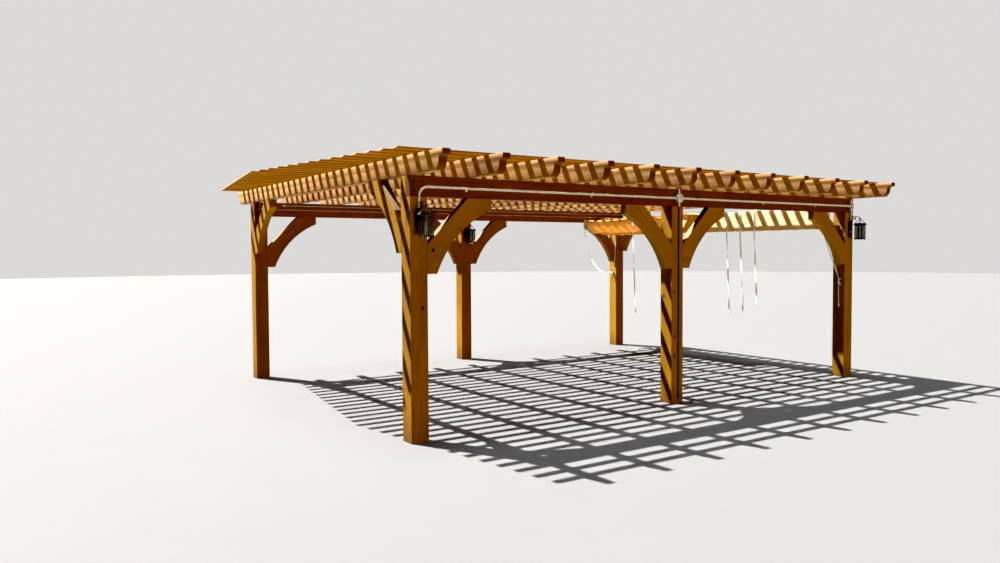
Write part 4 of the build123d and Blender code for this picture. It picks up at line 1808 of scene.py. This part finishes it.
@dataclass
class Cord:
    """One free cord: a round braided line along the route's points."""

    name: str
    points: list[Point]
    length: float
    lay: str
    loose_end: bool
    diameter: float = 0.010

    def build(self, finishes: Finishes, made_fast: list[Object]) -> None:
        """Args:
            finishes: materials of the part.
            made_fast: its turns on a cleat, if it has any.
        """
        piece, path = self.body(finishes)
        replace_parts(piece, self.name)
        extras = list(made_fast)
        if self.loose_end:
            extras.append(self.knot(finishes))
        LOG.info("%s: %.3f m", self.name, self.length)

    def body(self, finishes: Finishes) -> tuple[Object, list[Point] | None]:
        """Build the cord itself.

        Args:
            finishes: materials of the part.

        Returns:
            The cord, and the points that it follows where it is not a curve.
        """
        data = nurbs(self.name, self.points, 12)
        thicken(data, self.diameter / 2, 4)
        data.materials.append(finishes.cord)
        piece = show(bpy.data.objects.new(f"{self.name}_braid", data))
        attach(piece, ROOT)
        return piece, None

    def knot(self, finishes: Finishes) -> Object:
        """Build the overhand knot at the loose end.

        Args:
            finishes: materials of the part.

        Returns:
            The knot.
        """
        shape = Shape()
        x, y, z = self.points[-1]
        coil = arc((x, y), (0.0062, 0.0062), (math.radians(50 * step) for step in range(19)))
        shape.rod([(*spot, z + 0.012 - 0.0013 * step) for step, spot in enumerate(coil)], 0.0048, 8)
        shape.rod([(x, y, z - 0.006), (x + 0.001, y, z - 0.020), (x + 0.004, y, z - 0.034)], 0.0045, 8)
        return keep(f"{self.name}_knot", shape.mesh("knot", 60.0), finishes.cord)


@dataclass
class Tape(Cord):
    """One cord of flat webbing, which twists as it hangs and gleams where it turns flat to the sun."""

    diameter: float = 0.030  # its width
    turns: float = 1.25
    first_turn: float = 0.25  # 0 where it starts with its width along X, 0.25 where along Y
    flat_share: float = 0.0  # how much of it lies flat before it twists
    thickness: float = 0.0018
    selvedge: float = 0.0008
    steps: int = 150

    def body(self, finishes: Finishes) -> tuple[Object, list[Point] | None]:
        """Build the tape along its route.

        Args:
            finishes: materials of the part.

        Returns:
            The tape and the points that it follows.
        """
        path = self.spaced()
        edge, half = self.diameter / 2, self.thickness / 2
        flat = edge - self.selvedge
        section = [(-edge, 0.0), (-flat, -half), (flat, -half), (edge, 0.0), (flat, half), (-flat, half)]
        rings = []
        for number, spot in enumerate(path):
            along = (path[min(number + 1, self.steps)] - path[max(number - 1, 0)]).normalized()
            twist = max(0.0, number / self.steps - self.flat_share) / (1 - self.flat_share)
            angle = 2 * math.pi * (self.first_turn + self.turns * twist**1.3)
            level = Vector(Grain.ALONG.value) - along * along.x
            side = Matrix.Rotation(angle, 3, along) @ level.normalized()
            rings.append([spot + side * p + along.cross(side) * q for p, q in section])
        shape = Shape()
        shape.skin(rings)
        mesh = shape.mesh(self.name, 50.0)
        cloth = mesh.attributes.new("cloth", "FLOAT_VECTOR", "POINT")
        for number, item in enumerate(cloth.data):
            step, place = divmod(number, len(section))
            item.vector = (self.length * step / self.steps, section[place][0], 1.0)
        return keep(f"{self.name}_webbing", mesh, finishes.webbing), [tuple(spot) for spot in path]

    def spaced(self) -> list[Vector]:
        """Place points on the route, evenly spaced and close together.

        Returns:
            The points.
        """
        mesh = curve_mesh(nurbs(self.name, self.points, 12))
        corners = [vert.co.copy() for vert in mesh.vertices]
        bpy.data.meshes.remove(mesh)
        lengths = [0.0]
        for near, far in zip(corners, corners[1:]):
            lengths.append(lengths[-1] + (far - near).length)
        spots, leg = [], 0
        for step in range(self.steps + 1):
            wanted = lengths[-1] * step / self.steps
            while leg < len(corners) - 2 and lengths[leg + 1] < wanted:
                leg += 1
            share = (wanted - lengths[leg]) / (lengths[leg + 1] - lengths[leg])
            spots.append(corners[leg].lerp(corners[leg + 1], share))
        return spots


@dataclass
class Cleats:
    """Two cast cleats with tapered horns, and the turns of cord made fast on each."""

    x: float = 3.786
    z: float = 1.400
    ys: Flat = (-2.483, 2.417)

    def build(self, kit: Kit) -> None:
        """Build both cleats.

        Args:
            kit: materials and trees.
        """
        shape = Shape()
        bar = [(0.004, 0, -0.100), (0, 0, -0.070), (0, 0, 0), (0, 0, 0.070), (0.004, 0, 0.100)]
        shape.rod(bar, 0.0075, 16)
        for vert in shape.data.verts:
            taper = 1 - 0.35 * (abs(vert.co.z) / 0.1) ** 2
            vert.co.x *= taper
            vert.co.y *= taper
        for side in (-1, 1):
            legs = Vector((0.030, 0, side * 0.004))
            shape.turned((0, 0, side * 0.020), legs.normalized(), 16, (0, legs.length, 0.008, 0.009))
        shape.block((0.028, -0.009, -0.045), (0.034, 0.009, 0.045), 0.003)
        for side in (-1, 1):
            shape.turned((0, 0, side * 0.038), Grain.ALONG.value, 12, (0.028, 0.0255, 0.0045, 0.003))
        points = [(self.x, y, self.z) for y in self.ys]
        piece = kit.repeater.place_at("cleats_cast", shape.mesh("cleat", 35.0), points, kit.finishes.iron,
                                      Slot.ZINC)
        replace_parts(piece, "cleats")

    def turns(self, name: str, y: float, finishes: Finishes) -> Object:
        """Build the figure-of-eight turns of cord on one cleat, as one continuous winding.

        Args:
            name: name of the piece.
            y: the cleat's place across the post.
            finishes: materials of the part.

        Returns:
            The winding.
        """
        route = []
        for level in range(3):
            out, high = 0.0135 + 0.0065 * level, 0.042 - 0.009 * level
            wide, past = out + 0.003, high + 0.006
            route += [(-0.004, -0.014, high), (-out, -0.006, high * 0.45), (-out, 0.006, -high * 0.45),
                      (-0.004, 0.014, -high), (0.013, 0.008, -past), (0.013, -0.008, -past),
                      (-0.004, -0.014, -high), (-wide, -0.006, -high * 0.45), (-wide, 0.006, high * 0.45),
                      (-0.004, 0.014, high), (0.013, 0.008, past), (0.013, -0.008, past)]
        shape = Shape()
        shape.rod([(self.x + dx, y + dy, self.z + dz) for dx, dy, dz in route], 0.0048, 8)
        return keep(name, shape.mesh(name, 60.0), finishes.cord)


# Studio


@dataclass(frozen=True)
class Studio:
    """Camera at the photograph's place, pale floor and a high sun from behind and a little to the left."""

    camera_at: Point = (-6.8072, -9.3834, 1.8681)
    focal_px: float = 798.64
    image_px: float = 1000.0
    sensor_mm: float = 36.0
    yaw: float = 0.5914
    pitch: float = -0.0384
    roll: float = -0.0054
    floor_radius: float = 60.0
    key_way: Point = (0.24, -0.52, -1.0)
    key_strength: float = 24.0
    key_angle_deg: float = 0.55
    base_light: tuple[float, float, float, float] = (0.020, 0.018, 0.015, 1.0)
    behind: Point = (0.5575, 0.8302, 0.0)
    behind_strength: float = 0.2
    black: float = 0.015  # what the picture shows as black, as the photograph's deep shadows are

    def build(self) -> None:
        """Build camera, floor and lights."""
        self.camera()
        floor = Shape()
        floor.turned((0, 0, 0), UP, 96, (-0.02, 0, self.floor_radius, self.floor_radius))
        slab = bpy.data.objects.new("floor", floor.mesh("floor"))
        slab.data.materials.append(Matt("pale_floor", "54565A", 0.9).material())
        show(slab)
        # Light from below comes from the sky's lower half instead, through the floor
        slab.visible_diffuse = False
        slab.visible_shadow = False
        self.key()
        self.sky()
        view = bpy.context.scene.view_settings
        view.view_transform = "Standard"
        view.use_curve_mapping = True
        view.curve_mapping.black_level = (self.black, self.black, self.black)
        view.curve_mapping.update()

    def sky(self) -> None:
        """Build the surroundings: dim, with soft light from below, in front and above, and a lit backdrop."""
        world = bpy.data.worlds.new("studio")
        bpy.context.scene.world = world
        world.use_nodes = True
        world.node_tree.nodes.clear()
        nodes = Nodes(world.node_tree)
        way = nodes.add("ShaderNodeTexCoord").outputs["Generated"]
        light = nodes.add("ShaderNodeRGB").outputs[0]
        light.default_value = self.base_light
        warm, plain = linear("FFE7B3")[:3], linear("F4F3F1")[:3]
        # Each soft light: where it comes from, how narrow it is, its strength and its colour
        lobes = ((DOWN, 400.0, 100.0, warm), ((0.0, -0.97, -0.24), 60.0, 17.0, warm),
                 ((-1.0, 0.0, 0.0), 200.0, 4.0, warm), (UP, 200.0, 100.0, plain))
        for axis, power, strength, colour in lobes:
            facing = nodes.math("MAXIMUM", nodes.vector("DOT_PRODUCT", way, axis), 0.0)
            lobe = nodes.math("POWER", facing, power)
            light = nodes.vector("MULTIPLY_ADD", lobe, tuple(strength * part for part in colour), light)
        along = nodes.vector("DOT_PRODUCT", way, self.behind)
        backdrop = nodes.ramp(along, 0.45, 0.75, 0.0, self.behind_strength, "SMOOTHSTEP")
        light = nodes.vector("MULTIPLY_ADD", backdrop, plain, light)
        seen = nodes.add("ShaderNodeLightPath").outputs["Is Camera Ray"]
        glow = nodes.add("ShaderNodeBackground", {"Color": nodes.mix(seen, light, "DCDBD9"), "Strength": 1.0})
        nodes.add("ShaderNodeOutputWorld", {"Surface": glow.outputs[0]})

    def camera(self) -> None:
        """Build the camera from its fitted place and angles."""
        ahead = Vector((math.sin(self.yaw), math.cos(self.yaw), 0.0))
        side = Vector((math.cos(self.yaw), -math.sin(self.yaw), 0.0))
        forward = ahead * math.cos(self.pitch) + Vector(UP) * math.sin(self.pitch)
        top = Vector(UP) * math.cos(self.pitch) - ahead * math.sin(self.pitch)
        right = side * math.cos(self.roll) + top * math.sin(self.roll)
        up = top * math.cos(self.roll) - side * math.sin(self.roll)
        data = bpy.data.cameras.new("camera")
        data.sensor_width = self.sensor_mm
        data.lens = self.focal_px / self.image_px * self.sensor_mm
        data.clip_end = 200.0
        camera = bpy.data.objects.new("camera", data)
        turn = Matrix((right, up, -forward)).transposed().to_4x4()
        camera.matrix_world = Matrix.Translation(self.camera_at) @ turn
        bpy.context.scene.camera = show(camera)

    def key(self) -> None:
        """Build the sun."""
        data = bpy.data.lights.new("key", "SUN")
        data.energy = self.key_strength
        data.angle = math.radians(self.key_angle_deg)
        data.color = linear("FFF8EC")[:3]
        lamp = bpy.data.objects.new("key", data)
        lamp.rotation_euler = Vector(DOWN).rotation_difference(Vector(self.key_way)).to_euler()
        show(lamp)


LANTERNS = [
    Lantern("lantern_front_left", -3.155, FRONT),
    Lantern("lantern_front_right", 3.942, FRONT),
    Lantern("lantern_back_middle", 0.380, BACK_ROW),
]

CORDS = [
    Tape("pull_cord_front_1", [(3.4847, -0.645, 2.4822), (3.4847, -0.685, 1.6611), (3.4847, -0.725, 0.84)],
         1.644, "hanging", True, turns=0.9, flat_share=0.22),
    Tape("pull_cord_front_2", [(3.4847, -0.915, 2.4822), (3.4847, -0.955, 1.6961), (3.4847, -0.995, 0.91)],
         1.574, "hanging", True, turns=-0.7, flat_share=0.22),
    Tape("pull_cord_front_3", [(3.4847, -1.185, 2.4822), (3.4847, -1.225, 1.7336), (3.4847, -1.265, 0.985)],
         1.499, "hanging", True, turns=1.2, flat_share=0.22),
    Tape("pull_cord_back", [(2.9947, 1.018, 2.44), (2.9947, 0.978, 1.615), (2.9947, 0.938, 0.79)],
         1.652, "hanging", True, turns=0.8, flat_share=0.18),
    Cord("tie_cord_front_1", [
        (3.55, -2.3403, 2.2), (3.5869, -2.3641, 2.0632), (3.6239, -2.3879, 1.9309), (3.6608, -2.4117, 1.803),
        (3.6978, -2.4354, 1.6796), (3.7348, -2.4592, 1.5606), (3.7717, -2.483, 1.446),
        (3.7673, -2.483, 1.3177), (3.7673, -2.483, 1.1893), (3.7717, -2.483, 1.061)], 1.182, "hanging", True),
    Cord("tie_cord_front_2", [
        (3.65, -2.3403, 2.2), (3.6727, -2.3617, 2.0632), (3.6953, -2.3831, 1.9309), (3.718, -2.4045, 1.803),
        (3.7407, -2.4259, 1.6796), (3.7633, -2.4473, 1.5606), (3.786, -2.4687, 1.446)], 0.777, "taut", False),
    Tape("tie_cord_back_1", [
        (2.9947, 2.325, 2.44), (2.9978, 2.3257, 2.3366), (3.0075, 2.3279, 2.2336), (3.0242, 2.3315, 2.1315),
        (3.0483, 2.3365, 2.031), (3.0805, 2.3429, 1.9329), (3.1211, 2.3506, 1.838), (3.1707, 2.3595, 1.7477),
        (3.2301, 2.3693, 1.6635), (3.2995, 2.3798, 1.5876), (3.3792, 2.3905, 1.5227),
        (3.4689, 2.4006, 1.4723), (3.5668, 2.4091, 1.4406), (3.6695, 2.4149, 1.4313),
        (3.7717, 2.417, 1.446)], 1.446, "hanging", False, 0.022, turns=0.5, flat_share=0.1),
    Cord("tie_cord_back_2", [
        (3.76, 2.307, 2.1544), (3.7633, 2.3139, 2.0146), (3.7665, 2.3234, 1.8747), (3.7698, 2.3353, 1.7349),
        (3.773, 2.3497, 1.595), (3.786, 2.4027, 1.495)], 0.674, "taut", False),
]


def main() -> None:
    """Build the whole scene in order."""
    logging.basicConfig(level=logging.INFO, format="%(message)s")
    kit = Kit()
    for assembly in (TimberFrame(), Roof(), Bolts(), Wiring(), *LANTERNS):
        assembly.build(kit)
    shades = [Shade("shade_front", -2.335, -0.050, 3.490, 3.494, 11, 1.7),
              Shade("shade_back", 0.050, 2.335, 3.000, 3.390, 10, 5.3, slack=True)]
    for shade, canvas in zip(shades, (kit.finishes.canvas, kit.finishes.back_canvas_painted_shade)):
        shade.build(canvas)
    Wires().build(shades, kit)
    cleats = Cleats()
    cleats.build(kit)
    made_fast = {"tie_cord_front_2": [cleats.turns("cord_turns_front", cleats.ys[0], kit.finishes)],
                 "tie_cord_back_2": [cleats.turns("cord_turns_back", cleats.ys[1], kit.finishes)]}
    for cord in CORDS:
        cord.build(kit.finishes, made_fast.get(cord.name, []))
    Studio().build()


if __name__ == "__main__":
    main()
